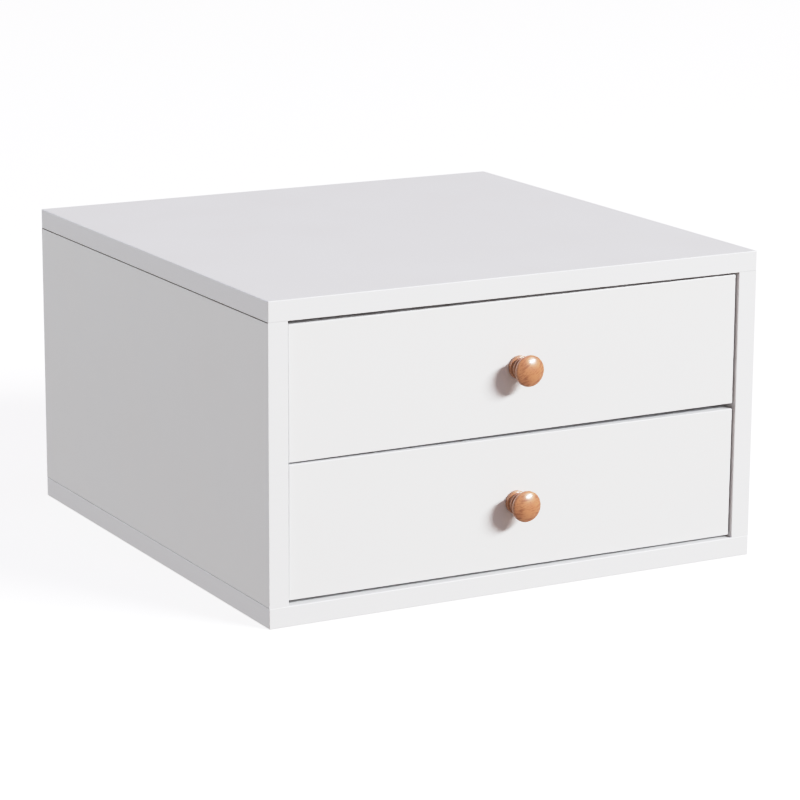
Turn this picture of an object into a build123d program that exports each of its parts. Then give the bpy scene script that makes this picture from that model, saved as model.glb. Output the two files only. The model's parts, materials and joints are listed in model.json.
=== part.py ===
from build123d import *
import os

# A two-drawer desktop cabinet in melamine-faced board, with turned beech knobs.
# Millimetres. The origin is the centre of the underside; +X is right seen from the front,
# the front faces -Y, and +Z is up. Each solid below is modelled where it sits, drawers shut.

os.makedirs("parts", exist_ok=True)

# ---- driving dimensions: cabinet ----
WIDTH = 400.0
DEPTH = 400.0
HEIGHT = 232.0
BOARD = 15.0            # melamine-faced board of the cabinet and the drawer fronts
EDGING = 1.0            # plastic band on the cut edges
EDGING_ROUND = 0.6      # rounding of the band's outer corners
ARRIS = 0.3             # eased corner of a side panel beside a joint
TOP_RELIEF = 0.5        # a side's outer skin stops this far short of the top panel
BOTTOM_RELIEF = 0.25    # and this far short of the bottom panel
RELIEF_DEPTH = 3.0      # how far in from the outside that joint line runs
BACK_THICK = 3.0
BACK_INSET = 10.0       # from the rear edge to the back panel
GROOVE_DEPTH = 7.0
GROOVE_PLAY = 0.1       # on each face of a panel held in a groove
PANEL_SHORT = 0.5       # a panel stops this far short of its groove's floor

# ---- driving dimensions: drawers ----
RECESS = 2.3            # the drawer fronts sit behind the cabinet's front edges
FRONT_WIDTH = 367.0
FRONT_HEIGHT = 97.0
LOWER_FRONT_Z = 66.2    # centre height of each front
UPPER_FRONT_Z = 166.0
FRONT_LEAN = 0.2        # degrees that each front hangs out of level
BOX_BOARD = 12.0
BOX_SIDE_HEIGHT = 74.0
BOX_BACK_HEIGHT = 62.0
BOX_GROOVE_DEPTH = 5.0
BOX_BOTTOM_LIFT = 8.0   # from the sides' lower edge to the drawer bottom's groove
BOX_BOTTOM_THICK = 3.0
BOX_FIXINGS = {"cam": (42.0,), "dowel": (22.0, 62.0)}    # heights above a side's lower edge
BOX_BACK_SCREWS = (20.0, 50.0)

# ---- driving dimensions: roller runners ----
RUNNER_LENGTH = 350.0
RUNNER_SPACE = 12.5     # between the cabinet side and the drawer side
RUNNER_PITCH = UPPER_FRONT_Z - LOWER_FRONT_Z
LOWER_RUNNER_Z = 20.0   # underside of the lower pair
UPPER_RUNNER_Z = LOWER_RUNNER_Z + RUNNER_PITCH
RUNNER_STEEL = 1.0
RUNNER_SETBACK = 1.0    # cabinet member behind the shut drawer front
CABINET_MEMBER_HEIGHT = 21.4
CABINET_LOWER_FLANGE = 9.0
CABINET_UPPER_FLANGE = 6.0
DRAWER_MEMBER_HEIGHT = 19.3
RUNNING_FLANGE_START = 3.0
FRONT_ROLLER_RADIUS = 8.5
FRONT_ROLLER_Z = 9.5
REAR_ROLLER_RADIUS = 9.4
REAR_ROLLER_Z = 10.7
ROLLER_INSET = 12.0     # roller axis from the end of its member
ROLLER_WIDTH = 6.0
FRONT_ROLLER_START = 2.0
REAR_ROLLER_START = 2.5
AXLE_RADIUS = 2.0
RUNNING_CLEARANCE = 0.06
RIVET_RADIUS = 2.8
RIVET_THICK = 0.8
RIVET_POCKET_RADIUS = 3.2
RIVET_POCKET_DEPTH = 1.2
ROLLER_ROUND = 0.8
FIRST_SCREW = 50.0             # from a runner's front end to its first screw
SCREW_PITCH = 128.0
SCREWS_PER_RUNNER = 3
DRAWER_SCREW_Z = 5.0           # above the underside of a drawer's member
DRAWER_SCREW_LENGTH = 10.0
CABINET_SCREW_LENGTH = 12.0

# ---- driving dimensions: fixings ----
FIT = 0.05              # radial play of a fixing in its hole
CAM_RADIUS = 7.4
CAM_THICK = 12.0
CAM_DISTANCE = 34.0     # from the joint to the cam's axis
MINI_CAM_RADIUS = 6.0
MINI_CAM_THICK = 9.5
MINI_CAM_DISTANCE = 24.0
CAM_SLOT = (8.0, 1.6, 1.6)     # length, width and depth of the cross that turns a cam
CAM_MOUTH_RADIUS = 3.2         # hole in a cam's rim that takes its bolt's head
CAM_MOUTH_PAST = 4.0           # the hole runs this far past the cam's axis
BOLT_THREAD_RADIUS = 2.5
BOLT_THREAD_LENGTH = 11.0
BOLT_COLLAR_RADIUS = 3.5
BOLT_COLLAR_LENGTH = 2.5
BOLT_SHANK_RADIUS = 2.4
BOLT_HEAD_RADIUS = 2.8
BOLT_HEAD_LENGTH = 3.2
BOLT_NECK_RADIUS = 1.8
BOLT_NECK_LENGTH = 4.0
BOLT_BORE_RADIUS = 4.0
DOWEL_RADIUS = 4.0
DOWEL_IN_FACE = 10.0
DOWEL_IN_EDGE = 20.0
DOWEL_CHAMFER = 1.0
CAM_Y = 150.0           # front and rear fixings from the middle
DOWEL_Y = 110.0
WOOD_SCREW_RADIUS = 1.7
WOOD_SCREW_HEAD_RADIUS = 3.2
WOOD_SCREW_HEAD_THICK = 1.1
BOX_SCREW_RADIUS = 2.2
BOX_SCREW_LENGTH = 32.0
BOX_SCREW_HEAD_RADIUS = 4.0
BOX_SCREW_HEAD_THICK = 2.6

# ---- driving dimensions: knobs ----
UPPER_KNOB = (-1.0, 165.4)     # where each knob's axis goes through its front: X, Z
LOWER_KNOB = (-2.0, 66.4)
KNOB_BASE_RADIUS = 8.6
KNOB_BASE_THICK = 3.5
KNOB_GROOVE_RADIUS = 7.3
KNOB_BEAD_RADIUS = 8.2
KNOB_BEAD_OUT = 6.7            # crest of the bead, from the base
KNOB_NECK_RADIUS = 7.3
KNOB_CAP_RADIUS = 11.55
KNOB_RIM_OUT = 15.2            # widest circle of the cap, from the base
KNOB_SHOULDER = (1.4, 2.1)     # from the widest circle to the foot of the dome: inwards, outwards
KNOB_LENGTH = 20.2
KNOB_SCREW_RADIUS = 2.0
KNOB_SCREW_IN = 11.0           # into the knob
KNOB_SCREW_HEAD_RADIUS = 4.2
KNOB_SCREW_HEAD_THICK = 2.4
KNOB_INSERT_RADIUS = 3.6
KNOB_INSERT_LENGTH = 12.0

# ---- places worked out from the above ----
FRONT_Y = -DEPTH / 2
REAR_Y = DEPTH / 2
INNER_X = WIDTH / 2 - BOARD
SIDE_LOW_Z = BOARD
SIDE_HIGH_Z = HEIGHT - BOARD
BACK_Y = REAR_Y - BACK_INSET - BACK_THICK
FACE_Y = FRONT_Y + RECESS
BOX_FRONT_Y = FACE_Y + BOARD
BOX_REAR_Y = BOX_FRONT_Y + RUNNER_LENGTH
BOX_OUTER_X = INNER_X - RUNNER_SPACE
BOX_INNER_X = BOX_OUTER_X - BOX_BOARD
CABINET_MEMBER_Y = BOX_FRONT_Y + RUNNER_SETBACK
FRONT_ROLLER_Y = CABINET_MEMBER_Y + ROLLER_INSET
REAR_ROLLER_Y = BOX_REAR_Y - ROLLER_INSET
ALONG_X = (1, 0, 0)
ALONG_Z = (0, 0, 1)
DRAWERS = {
    "upper": {
        "front_z": UPPER_FRONT_Z,
        "runner_z": UPPER_RUNNER_Z,
        "lean": -FRONT_LEAN,
        "knob": UPPER_KNOB,
    },
    "lower": {
        "front_z": LOWER_FRONT_Z,
        "runner_z": LOWER_RUNNER_Z,
        "lean": FRONT_LEAN,
        "knob": LOWER_KNOB,
    },
}
SIDES = {"left": -1, "right": 1}


def block(x, y, z):
    """A box between two values on each axis, in any order."""
    size = [abs(high - low) for low, high in (x, y, z)]
    middle = [(low + high) / 2 for low, high in (x, y, z)]
    return Pos(*middle) * Box(*size)


def rod(start, direction, radius, length):
    """A round bar from a point, along a direction."""
    base = (Align.CENTER, Align.CENTER, Align.MIN)
    return Plane(origin=start, z_dir=direction) * Cylinder(radius, length, align=base)


def turned(start, direction, outline):
    """A solid of revolution from (radius, distance along the axis) points, closed on its axis."""
    points = [(0, outline[0][1])] + list(outline) + [(0, outline[-1][1])]
    face = make_face(Polyline(*[(radius, 0, along) for radius, along in points], close=True))
    return Plane(origin=start, z_dir=direction) * revolve(face, Axis.Z)


def save(name, *solids):
    """One STEP file for one node, whether it is a single piece or a set of equal ones."""
    shape = solids[0] if len(solids) == 1 else Compound(list(solids))
    export_step(shape, f"parts/{name}.step")


# ---- boards and their edging ----
def band(x, y, z):
    """Edging round all four edges of a level board: a thin ring with its outer corners rounded."""
    outer = fillet(block(x, y, z).edges(), EDGING_ROUND)
    inner = block((x[0] + EDGING, x[1] - EDGING), (y[0] + EDGING, y[1] - EDGING), (z[0] - 1, z[1] + 1))
    return outer - inner


def front_band(centre_z):
    """Edging round a drawer front, which stands upright."""
    half_x = FRONT_WIDTH / 2
    half_z = FRONT_HEIGHT / 2
    board = block((-half_x, half_x), (FACE_Y, BOX_FRONT_Y), (centre_z - half_z, centre_z + half_z))
    outer = fillet(board.edges(), EDGING_ROUND)
    inner_x = half_x - EDGING
    inner_z = half_z - EDGING
    wide_y = (FACE_Y - 1, BOX_FRONT_Y + 1)
    return outer - block((-inner_x, inner_x), wide_y, (centre_z - inner_z, centre_z + inner_z))


def fixing_places(y):
    """The four corners of the cabinet where one kind of fixing sits: X, Y and which way is up."""
    middle_x = WIDTH / 2 - BOARD / 2
    return [(side * middle_x, place, up) for side in (-1, 1) for place in (-y, y) for up in (-1, 1)]


def joint_z(up):
    """Height of the joint between the sides and the top (up is 1) or the bottom (up is -1)."""
    return SIDE_HIGH_Z if up > 0 else SIDE_LOW_Z


def level_board(up):
    """Top or bottom panel: bored for bolts and dowels, and grooved for the back panel."""
    z = (SIDE_HIGH_Z, HEIGHT) if up > 0 else (0, BOARD)
    half_x = WIDTH / 2 - EDGING
    half_y = DEPTH / 2 - EDGING
    board = block((-half_x, half_x), (-half_y, half_y), z)
    seam = joint_z(up)
    away = (0, 0, up)
    for x, y, end in fixing_places(CAM_Y):
        if end == up:
            board -= rod((x, y, seam), away, BOLT_THREAD_RADIUS + FIT, BOLT_THREAD_LENGTH)
    for x, y, end in fixing_places(DOWEL_Y):
        if end == up:
            board -= rod((x, y, seam), away, DOWEL_RADIUS + FIT, DOWEL_IN_FACE + PANEL_SHORT)
    groove_x = INNER_X + GROOVE_DEPTH
    groove_y = (BACK_Y - GROOVE_PLAY, BACK_Y + BACK_THICK + GROOVE_PLAY)
    return board - block((-groove_x, groove_x), groove_y, (seam, seam + up * GROOVE_DEPTH))


def side_board(side):
    """Left (-1) or right (1) side panel, between the top and the bottom."""
    outer_x = side * WIDTH / 2
    inner_x = side * INNER_X
    y = (FRONT_Y + EDGING, REAR_Y - EDGING)
    board = block((outer_x, inner_x), y, (SIDE_LOW_Z, SIDE_HIGH_Z))
    skin = (outer_x, outer_x - side * RELIEF_DEPTH)
    board -= block(skin, y, (SIDE_HIGH_Z - TOP_RELIEF, SIDE_HIGH_Z))
    board -= block(skin, y, (SIDE_LOW_Z, SIDE_LOW_Z + BOTTOM_RELIEF))
    outer_edges = board.edges().filter_by(Axis.Y).group_by(Axis.X)[0 if side < 0 else -1]
    board = chamfer(outer_edges, ARRIS)
    for x, place, up in fixing_places(CAM_Y):
        if x * side > 0:
            seam = joint_z(up)
            inwards = (0, 0, -up)
            board -= rod((x, place, seam), inwards, BOLT_BORE_RADIUS, CAM_DISTANCE)
            pocket = (inner_x, place, seam - up * CAM_DISTANCE)
            board -= rod(pocket, (side, 0, 0), CAM_RADIUS + FIT, CAM_THICK + FIT)
    for x, place, up in fixing_places(DOWEL_Y):
        if x * side > 0:
            inwards = (0, 0, -up)
            board -= rod((x, place, joint_z(up)), inwards, DOWEL_RADIUS + FIT, DOWEL_IN_EDGE + PANEL_SHORT)
    groove_y = (BACK_Y - GROOVE_PLAY, BACK_Y + BACK_THICK + GROOVE_PLAY)
    board -= block((inner_x, inner_x + side * GROOVE_DEPTH), groove_y, (SIDE_LOW_Z, SIDE_HIGH_Z))
    for drawer in DRAWERS.values():
        for y_place in runner_screw_places():
            start = (inner_x, y_place, drawer["runner_z"] + REAR_ROLLER_Z)
            board -= rod(start, (side, 0, 0), WOOD_SCREW_RADIUS + FIT, BOARD - 3)
    return board


def side_edging(side):
    """The bands on a side panel's front and rear edges."""
    x = (side * WIDTH / 2, side * INNER_X)
    z = (SIDE_LOW_Z, SIDE_HIGH_Z)
    strips = []
    for y, outer in (((FRONT_Y, FRONT_Y + EDGING), 0), ((REAR_Y - EDGING, REAR_Y), -1)):
        strip = block(x, y, z)
        corners = strip.edges().filter_by(Axis.Z).group_by(Axis.Y)[outer]
        strips.append(fillet(corners, EDGING_ROUND / 2))
    return strips


def back_board():
    """The thin back, held in grooves on all four sides."""
    reach = GROOVE_DEPTH - PANEL_SHORT
    x = INNER_X + reach
    return block((-x, x), (BACK_Y, BACK_Y + BACK_THICK), (SIDE_LOW_Z - reach, SIDE_HIGH_Z + reach))


# ---- fixings ----
def cam_bolt(joint, direction, distance):
    """A bolt threaded into a board's face at the joint, its head in a cam on the other side."""
    thread = -BOLT_THREAD_LENGTH + PANEL_SHORT
    neck = distance - BOLT_HEAD_LENGTH / 2 - BOLT_NECK_LENGTH
    head = distance - BOLT_HEAD_LENGTH / 2
    outline = [
        (BOLT_THREAD_RADIUS - PANEL_SHORT, thread),
        (BOLT_THREAD_RADIUS, thread + 1),
        (BOLT_THREAD_RADIUS, 0),
        (BOLT_COLLAR_RADIUS, 0),
        (BOLT_COLLAR_RADIUS, BOLT_COLLAR_LENGTH),
        (BOLT_SHANK_RADIUS, BOLT_COLLAR_LENGTH),
        (BOLT_SHANK_RADIUS, neck),
        (BOLT_NECK_RADIUS, neck),
        (BOLT_NECK_RADIUS, head),
        (BOLT_HEAD_RADIUS, head),
        (BOLT_HEAD_RADIUS, head + BOLT_HEAD_LENGTH),
    ]
    return turned(joint, direction, outline)


def cam_lock(face, inwards, towards_joint, radius, thick, depth_of_bolt):
    """A round cam flush with a board's face: a cross slot in front, open to its bolt on one side."""
    plane = Plane(origin=face, z_dir=inwards, x_dir=towards_joint)
    cam = plane * Cylinder(radius, thick, align=(Align.CENTER, Align.CENTER, Align.MIN))
    length, slot_width, slot_depth = CAM_SLOT
    for size in ((length, slot_width), (slot_width, length)):
        cam -= plane * Pos(0, 0, slot_depth / 2) * Box(size[0], size[1], slot_depth)
    mouth_length = radius + 2 * CAM_MOUTH_PAST
    mouth = Cylinder(CAM_MOUTH_RADIUS, mouth_length, align=(Align.CENTER, Align.CENTER, Align.MIN))
    return cam - plane * Pos(-CAM_MOUTH_PAST, 0, depth_of_bolt) * Rot(0, 90, 0) * mouth


def dowel(joint, direction):
    """A wooden pin: short end in a board's face behind the joint, long end in the other's edge."""
    outline = [
        (DOWEL_RADIUS - DOWEL_CHAMFER, -DOWEL_IN_FACE),
        (DOWEL_RADIUS, DOWEL_CHAMFER - DOWEL_IN_FACE),
        (DOWEL_RADIUS, DOWEL_IN_EDGE - DOWEL_CHAMFER),
        (DOWEL_RADIUS - DOWEL_CHAMFER, DOWEL_IN_EDGE),
    ]
    return turned(joint, direction, outline)


def pan_screw(face, direction, radius, length, head_radius, head_thick):
    """A screw whose head stands on a face, with a cross slot; direction runs along the thread."""
    outline = [
        (head_radius * 0.7, -head_thick),
        (head_radius, -head_thick * 0.5),
        (head_radius, 0),
        (radius, 0),
        (radius, length - radius),
        (radius * 0.3, length),
    ]
    screw = turned(face, direction, outline)
    plane = Plane(origin=face, z_dir=direction)
    for size in ((head_radius, head_radius * 0.2), (head_radius * 0.2, head_radius)):
        screw -= plane * Pos(0, 0, -head_thick) * Box(size[0], size[1], head_thick * 0.8)
    return screw


# ---- roller runners ----
def across(side, distance):
    """X at a distance from the cabinet's inner face towards the middle."""
    return side * (INNER_X - distance)


def runner_screw_places():
    """Where the screws of a runner member sit along the cabinet."""
    first = CABINET_MEMBER_Y + FIRST_SCREW
    return [first + SCREW_PITCH * step for step in range(SCREWS_PER_RUNNER)]


def cabinet_member(side, z):
    """Channel screwed to the cabinet side; its lower flange starts behind the front roller."""
    y = (CABINET_MEMBER_Y, CABINET_MEMBER_Y + RUNNER_LENGTH)
    top = z + CABINET_MEMBER_HEIGHT
    web = block((across(side, 0), across(side, RUNNER_STEEL)), y, (z, top))
    flange_y = (FRONT_ROLLER_Y + FRONT_ROLLER_RADIUS + 1.5, y[1])
    lower = block((across(side, 0), across(side, CABINET_LOWER_FLANGE)), flange_y, (z, z + RUNNER_STEEL))
    upper = block((across(side, 0), across(side, CABINET_UPPER_FLANGE)), y, (top - RUNNER_STEEL, top))
    stop_x = (across(side, 0), across(side, CABINET_UPPER_FLANGE))
    stop = block(stop_x, (y[1] - RUNNER_STEEL, y[1]), (z, top))
    member = web + lower + upper + stop
    for place in runner_screw_places():
        start = (across(side, -1), place, z + REAR_ROLLER_Z)
        member -= rod(start, (-side, 0, 0), WOOD_SCREW_RADIUS + FIT, 3)
    return member


def drawer_member(side, z):
    """Angle under and beside a drawer side; its outward flange runs on the front roller."""
    y = (BOX_FRONT_Y, BOX_REAR_Y)
    web_x = (across(side, RUNNER_SPACE - RUNNER_STEEL), across(side, RUNNER_SPACE))
    web = block(web_x, y, (z, z + DRAWER_MEMBER_HEIGHT))
    shelf_x = (across(side, RUNNER_SPACE - RUNNER_STEEL), across(side, RUNNER_SPACE + BOX_BOARD))
    shelf = block(shelf_x, y, (z, z + RUNNER_STEEL))
    flange_x = (across(side, RUNNING_FLANGE_START), across(side, RUNNER_SPACE))
    flange_y = (y[0], REAR_ROLLER_Y - REAR_ROLLER_RADIUS - 2.5)
    top = z + DRAWER_MEMBER_HEIGHT
    flange = block(flange_x, flange_y, (top - RUNNER_STEEL, top))
    member = web + shelf + flange
    for place in runner_screw_places():
        start = (across(side, RUNNER_SPACE - 3), place, z + DRAWER_SCREW_Z)
        member -= rod(start, (-side, 0, 0), WOOD_SCREW_RADIUS + FIT, 4)
    return member


def roller(side, start, y, z, radius, pocket_at_start):
    """A nylon wheel bored for its axle, with a pocket for the rivet on one face."""
    outline_points = [(radius - ROLLER_ROUND, 0), (radius, ROLLER_ROUND)]
    outline_points += [(radius, ROLLER_WIDTH - ROLLER_ROUND), (radius - ROLLER_ROUND, ROLLER_WIDTH)]
    centre = (across(side, start), y, z)
    wheel = turned(centre, (-side, 0, 0), outline_points)
    wheel -= rod(centre, (-side, 0, 0), AXLE_RADIUS + RUNNING_CLEARANCE, ROLLER_WIDTH)
    pocket = start if pocket_at_start else start + ROLLER_WIDTH - RIVET_POCKET_DEPTH
    return wheel - rod((across(side, pocket), y, z), (-side, 0, 0), RIVET_POCKET_RADIUS, RIVET_POCKET_DEPTH)


def front_axle(side, z):
    """A rivet from the cabinet member's web through its roller."""
    head = FRONT_ROLLER_START + ROLLER_WIDTH - RIVET_POCKET_DEPTH + 0.2
    outline = [
        (RIVET_RADIUS, RUNNER_STEEL),
        (RIVET_RADIUS, FRONT_ROLLER_START - 0.2),
        (AXLE_RADIUS, FRONT_ROLLER_START - 0.2),
        (AXLE_RADIUS, head),
        (RIVET_RADIUS, head),
        (RIVET_RADIUS, head + RIVET_THICK),
    ]
    return turned((across(side, 0), FRONT_ROLLER_Y, z + FRONT_ROLLER_Z), (-side, 0, 0), outline)


def rear_axle(side, z):
    """A rivet from the drawer member's web outwards through its roller."""
    head = REAR_ROLLER_START + RIVET_POCKET_DEPTH - 0.2
    outline = [
        (RIVET_RADIUS, head - RIVET_THICK),
        (RIVET_RADIUS, head),
        (AXLE_RADIUS, head),
        (AXLE_RADIUS, REAR_ROLLER_START + ROLLER_WIDTH + 0.2),
        (RIVET_RADIUS, REAR_ROLLER_START + ROLLER_WIDTH + 0.2),
        (RIVET_RADIUS, RUNNER_SPACE - RUNNER_STEEL),
    ]
    return turned((across(side, 0), REAR_ROLLER_Y, z + REAR_ROLLER_Z), (-side, 0, 0), outline)


# ---- drawers ----
def box_low(drawer):
    """Height of the lower edge of a drawer's sides, which stand on the runners' shelves."""
    return drawer["runner_z"] + RUNNER_STEEL


def bottom_z(drawer):
    """Height of the underside of the drawer bottom's groove."""
    return box_low(drawer) + BOX_BOTTOM_LIFT


def box_joints(drawer, kind):
    """Where the sides meet the front: X, joint Y and Z of each fixing of one kind."""
    x = BOX_OUTER_X - BOX_BOARD / 2
    return [(side * x, BOX_FRONT_Y, box_low(drawer) + z) for side in (-1, 1) for z in BOX_FIXINGS[kind]]


def back_screw_places(drawer, side):
    """Where screws go through one side into the drawer's back."""
    y = BOX_REAR_Y - BOX_BOARD / 2
    return [(side * BOX_OUTER_X, y, box_low(drawer) + z) for z in BOX_BACK_SCREWS]


def leaning(shape, drawer):
    """Turn a front's board or edging in its own plane, about the middle of the front."""
    axis = Axis((0, 0, drawer["front_z"]), (0, 1, 0))
    return shape.rotate(axis, drawer["lean"])


def drawer_front(drawer):
    """The board behind the edging, bored for knob, bolts and dowels and grooved for the bottom."""
    half_x = FRONT_WIDTH / 2 - EDGING
    half_z = FRONT_HEIGHT / 2 - EDGING
    centre_z = drawer["front_z"]
    board = block((-half_x, half_x), (FACE_Y, BOX_FRONT_Y), (centre_z - half_z, centre_z + half_z))
    board = leaning(board, drawer)
    knob_x, knob_z = drawer["knob"]
    board -= rod((knob_x, FACE_Y - 1, knob_z), (0, 1, 0), KNOB_SCREW_RADIUS + 0.25, BOARD + 2)
    for joint in box_joints(drawer, "cam"):
        board -= rod(joint, (0, -1, 0), BOLT_THREAD_RADIUS + FIT, BOLT_THREAD_LENGTH)
    for joint in box_joints(drawer, "dowel"):
        board -= rod(joint, (0, -1, 0), DOWEL_RADIUS + FIT, DOWEL_IN_FACE + PANEL_SHORT)
    low = bottom_z(drawer)
    groove_x = BOX_INNER_X + BOX_GROOVE_DEPTH
    groove_z = (low, low + BOX_BOTTOM_THICK + 2 * GROOVE_PLAY)
    return board - block((-groove_x, groove_x), (BOX_FRONT_Y - BOX_GROOVE_DEPTH, BOX_FRONT_Y), groove_z)


def drawer_side(drawer, side):
    """One side of a drawer box, grooved inside for the bottom."""
    low = box_low(drawer)
    y = (BOX_FRONT_Y, BOX_REAR_Y)
    board = block((side * BOX_OUTER_X, side * BOX_INNER_X), y, (low, low + BOX_SIDE_HEIGHT))
    for joint in box_joints(drawer, "cam"):
        if joint[0] * side > 0:
            board -= rod(joint, (0, 1, 0), BOLT_BORE_RADIUS, MINI_CAM_DISTANCE)
            pocket = (side * BOX_INNER_X, BOX_FRONT_Y + MINI_CAM_DISTANCE, joint[2])
            board -= rod(pocket, (side, 0, 0), MINI_CAM_RADIUS + FIT, MINI_CAM_THICK + FIT)
    for joint in box_joints(drawer, "dowel"):
        if joint[0] * side > 0:
            board -= rod(joint, (0, 1, 0), DOWEL_RADIUS + FIT, DOWEL_IN_EDGE + PANEL_SHORT)
    groove_x = (side * BOX_INNER_X, side * (BOX_INNER_X + BOX_GROOVE_DEPTH))
    groove_z = (bottom_z(drawer), bottom_z(drawer) + BOX_BOTTOM_THICK + 2 * GROOVE_PLAY)
    board -= block(groove_x, y, groove_z)
    for place in back_screw_places(drawer, side):
        board -= rod(place, (-side, 0, 0), BOX_SCREW_RADIUS + FIT, BOX_BOARD)
        board -= rod(place, (-side, 0, 0), BOX_SCREW_HEAD_RADIUS + FIT, BOX_SCREW_HEAD_THICK)
    for place in runner_screw_places():
        start = (side * BOX_OUTER_X, place, drawer["runner_z"] + DRAWER_SCREW_Z)
        board -= rod(start, (-side, 0, 0), WOOD_SCREW_RADIUS + FIT, DRAWER_SCREW_LENGTH)
    return board


def drawer_back(drawer):
    """The back of a drawer box, between its sides."""
    low = box_low(drawer)
    y = (BOX_REAR_Y - BOX_BOARD, BOX_REAR_Y)
    board = block((-BOX_INNER_X, BOX_INNER_X), y, (low, low + BOX_BACK_HEIGHT))
    for side in (-1, 1):
        for x, place, z in back_screw_places(drawer, side):
            board -= rod((x, place, z), (-side, 0, 0), BOX_SCREW_RADIUS + FIT, BOX_SCREW_LENGTH)
    groove_z = (bottom_z(drawer), bottom_z(drawer) + BOX_BOTTOM_THICK + 2 * GROOVE_PLAY)
    return board - block((-BOX_INNER_X, BOX_INNER_X), (y[0], y[0] + BOX_GROOVE_DEPTH), groove_z)


def drawer_bottom(drawer):
    """The thin bottom, held in grooves on all four sides."""
    reach = BOX_GROOVE_DEPTH - PANEL_SHORT
    x = BOX_INNER_X + reach
    y = (BOX_FRONT_Y - reach, BOX_REAR_Y - BOX_BOARD + reach)
    low = bottom_z(drawer) + GROOVE_PLAY
    return block((-x, x), y, (low, low + BOX_BOTTOM_THICK))


def knob(drawer):
    """A turned knob: base ring, groove, bead, neck, and a mushroom cap with a domed face."""
    bore = KNOB_INSERT_RADIUS + FIT
    bore_end = KNOB_INSERT_LENGTH + PANEL_SHORT
    ring_edge = (KNOB_BASE_RADIUS, KNOB_BASE_THICK - 0.4)
    ring_top = (KNOB_BASE_RADIUS - 0.4, KNOB_BASE_THICK)
    bead_low = (KNOB_BEAD_RADIUS - 0.5, KNOB_BEAD_OUT - 0.8)
    bead_high = (KNOB_BEAD_RADIUS - 0.5, KNOB_BEAD_OUT + 0.8)
    neck_end = (KNOB_NECK_RADIUS + 0.7, KNOB_BEAD_OUT + 3.5)
    rim_low = (KNOB_CAP_RADIUS - 0.6, KNOB_RIM_OUT - 1)
    rim_high = (KNOB_CAP_RADIUS - KNOB_SHOULDER[0], KNOB_RIM_OUT + KNOB_SHOULDER[1])
    rise = KNOB_LENGTH - rim_high[1]
    dome = (rim_high[0] ** 2 + rise ** 2) / (2 * rise)
    dome_half = (rim_high[0] / 2, KNOB_LENGTH - dome + (dome ** 2 - (rim_high[0] / 2) ** 2) ** 0.5)
    outline = [
        Polyline((0, KNOB_LENGTH), (0, bore_end), (bore, bore_end), (bore, 0), (KNOB_BASE_RADIUS - 0.3, 0)),
        Polyline((KNOB_BASE_RADIUS - 0.3, 0), (KNOB_BASE_RADIUS, 0.4), ring_edge, ring_top),
        ThreePointArc(ring_top, (KNOB_GROOVE_RADIUS, KNOB_BASE_THICK + 1.2), bead_low),
        ThreePointArc(bead_low, (KNOB_BEAD_RADIUS, KNOB_BEAD_OUT), bead_high),
        ThreePointArc(bead_high, (KNOB_NECK_RADIUS, KNOB_BEAD_OUT + 2), neck_end),
        ThreePointArc(neck_end, (KNOB_CAP_RADIUS - 2.45, KNOB_RIM_OUT - 2.9), rim_low),
        ThreePointArc(rim_low, (KNOB_CAP_RADIUS, KNOB_RIM_OUT), rim_high),
        ThreePointArc(rim_high, dome_half, (0, KNOB_LENGTH)),
    ]
    body = revolve(Plane.XZ * make_face(outline), Axis.Z)
    knob_x, knob_z = drawer["knob"]
    return Plane(origin=(knob_x, FACE_Y, knob_z), z_dir=(0, -1, 0)) * body


def knob_insert(drawer):
    """The threaded bush in the knob that takes the screw."""
    knob_x, knob_z = drawer["knob"]
    start = (knob_x, FACE_Y - PANEL_SHORT, knob_z)
    bush = rod(start, (0, -1, 0), KNOB_INSERT_RADIUS, KNOB_INSERT_LENGTH - PANEL_SHORT)
    return bush - rod(start, (0, -1, 0), KNOB_SCREW_RADIUS + FIT, KNOB_INSERT_LENGTH - PANEL_SHORT)


def knob_screw(drawer):
    """The machine screw from inside the drawer, through the front, into the knob."""
    knob_x, knob_z = drawer["knob"]
    face = (knob_x, BOX_FRONT_Y, knob_z)
    head = (KNOB_SCREW_HEAD_RADIUS, KNOB_SCREW_HEAD_THICK)
    return pan_screw(face, (0, -1, 0), KNOB_SCREW_RADIUS, BOARD + KNOB_SCREW_IN, *head)


# ---- cabinet ----
FULL_X = (-WIDTH / 2, WIDTH / 2)
FULL_Y = (FRONT_Y, REAR_Y)
save("top_panel", level_board(1))
save("top_panel_edging", band(FULL_X, FULL_Y, (SIDE_HIGH_Z, HEIGHT)))
save("bottom_panel", level_board(-1))
save("bottom_panel_edging", band(FULL_X, FULL_Y, (0, BOARD)))
save("back_panel", back_board())

bolts = []
cams = []
for x, y, up in fixing_places(CAM_Y):
    side = 1 if x > 0 else -1
    seam = joint_z(up)
    inwards = (0, 0, -up)
    bolts.append(cam_bolt((x, y, seam), inwards, CAM_DISTANCE))
    face = (side * INNER_X, y, seam - up * CAM_DISTANCE)
    cams.append(cam_lock(face, (side, 0, 0), (0, 0, up), CAM_RADIUS, CAM_THICK, BOARD / 2))
save("carcass_cam_bolts", *bolts)
save("carcass_cam_locks", *cams)
save("carcass_dowels", *[dowel((x, y, joint_z(up)), (0, 0, -up)) for x, y, up in fixing_places(DOWEL_Y)])

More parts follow.
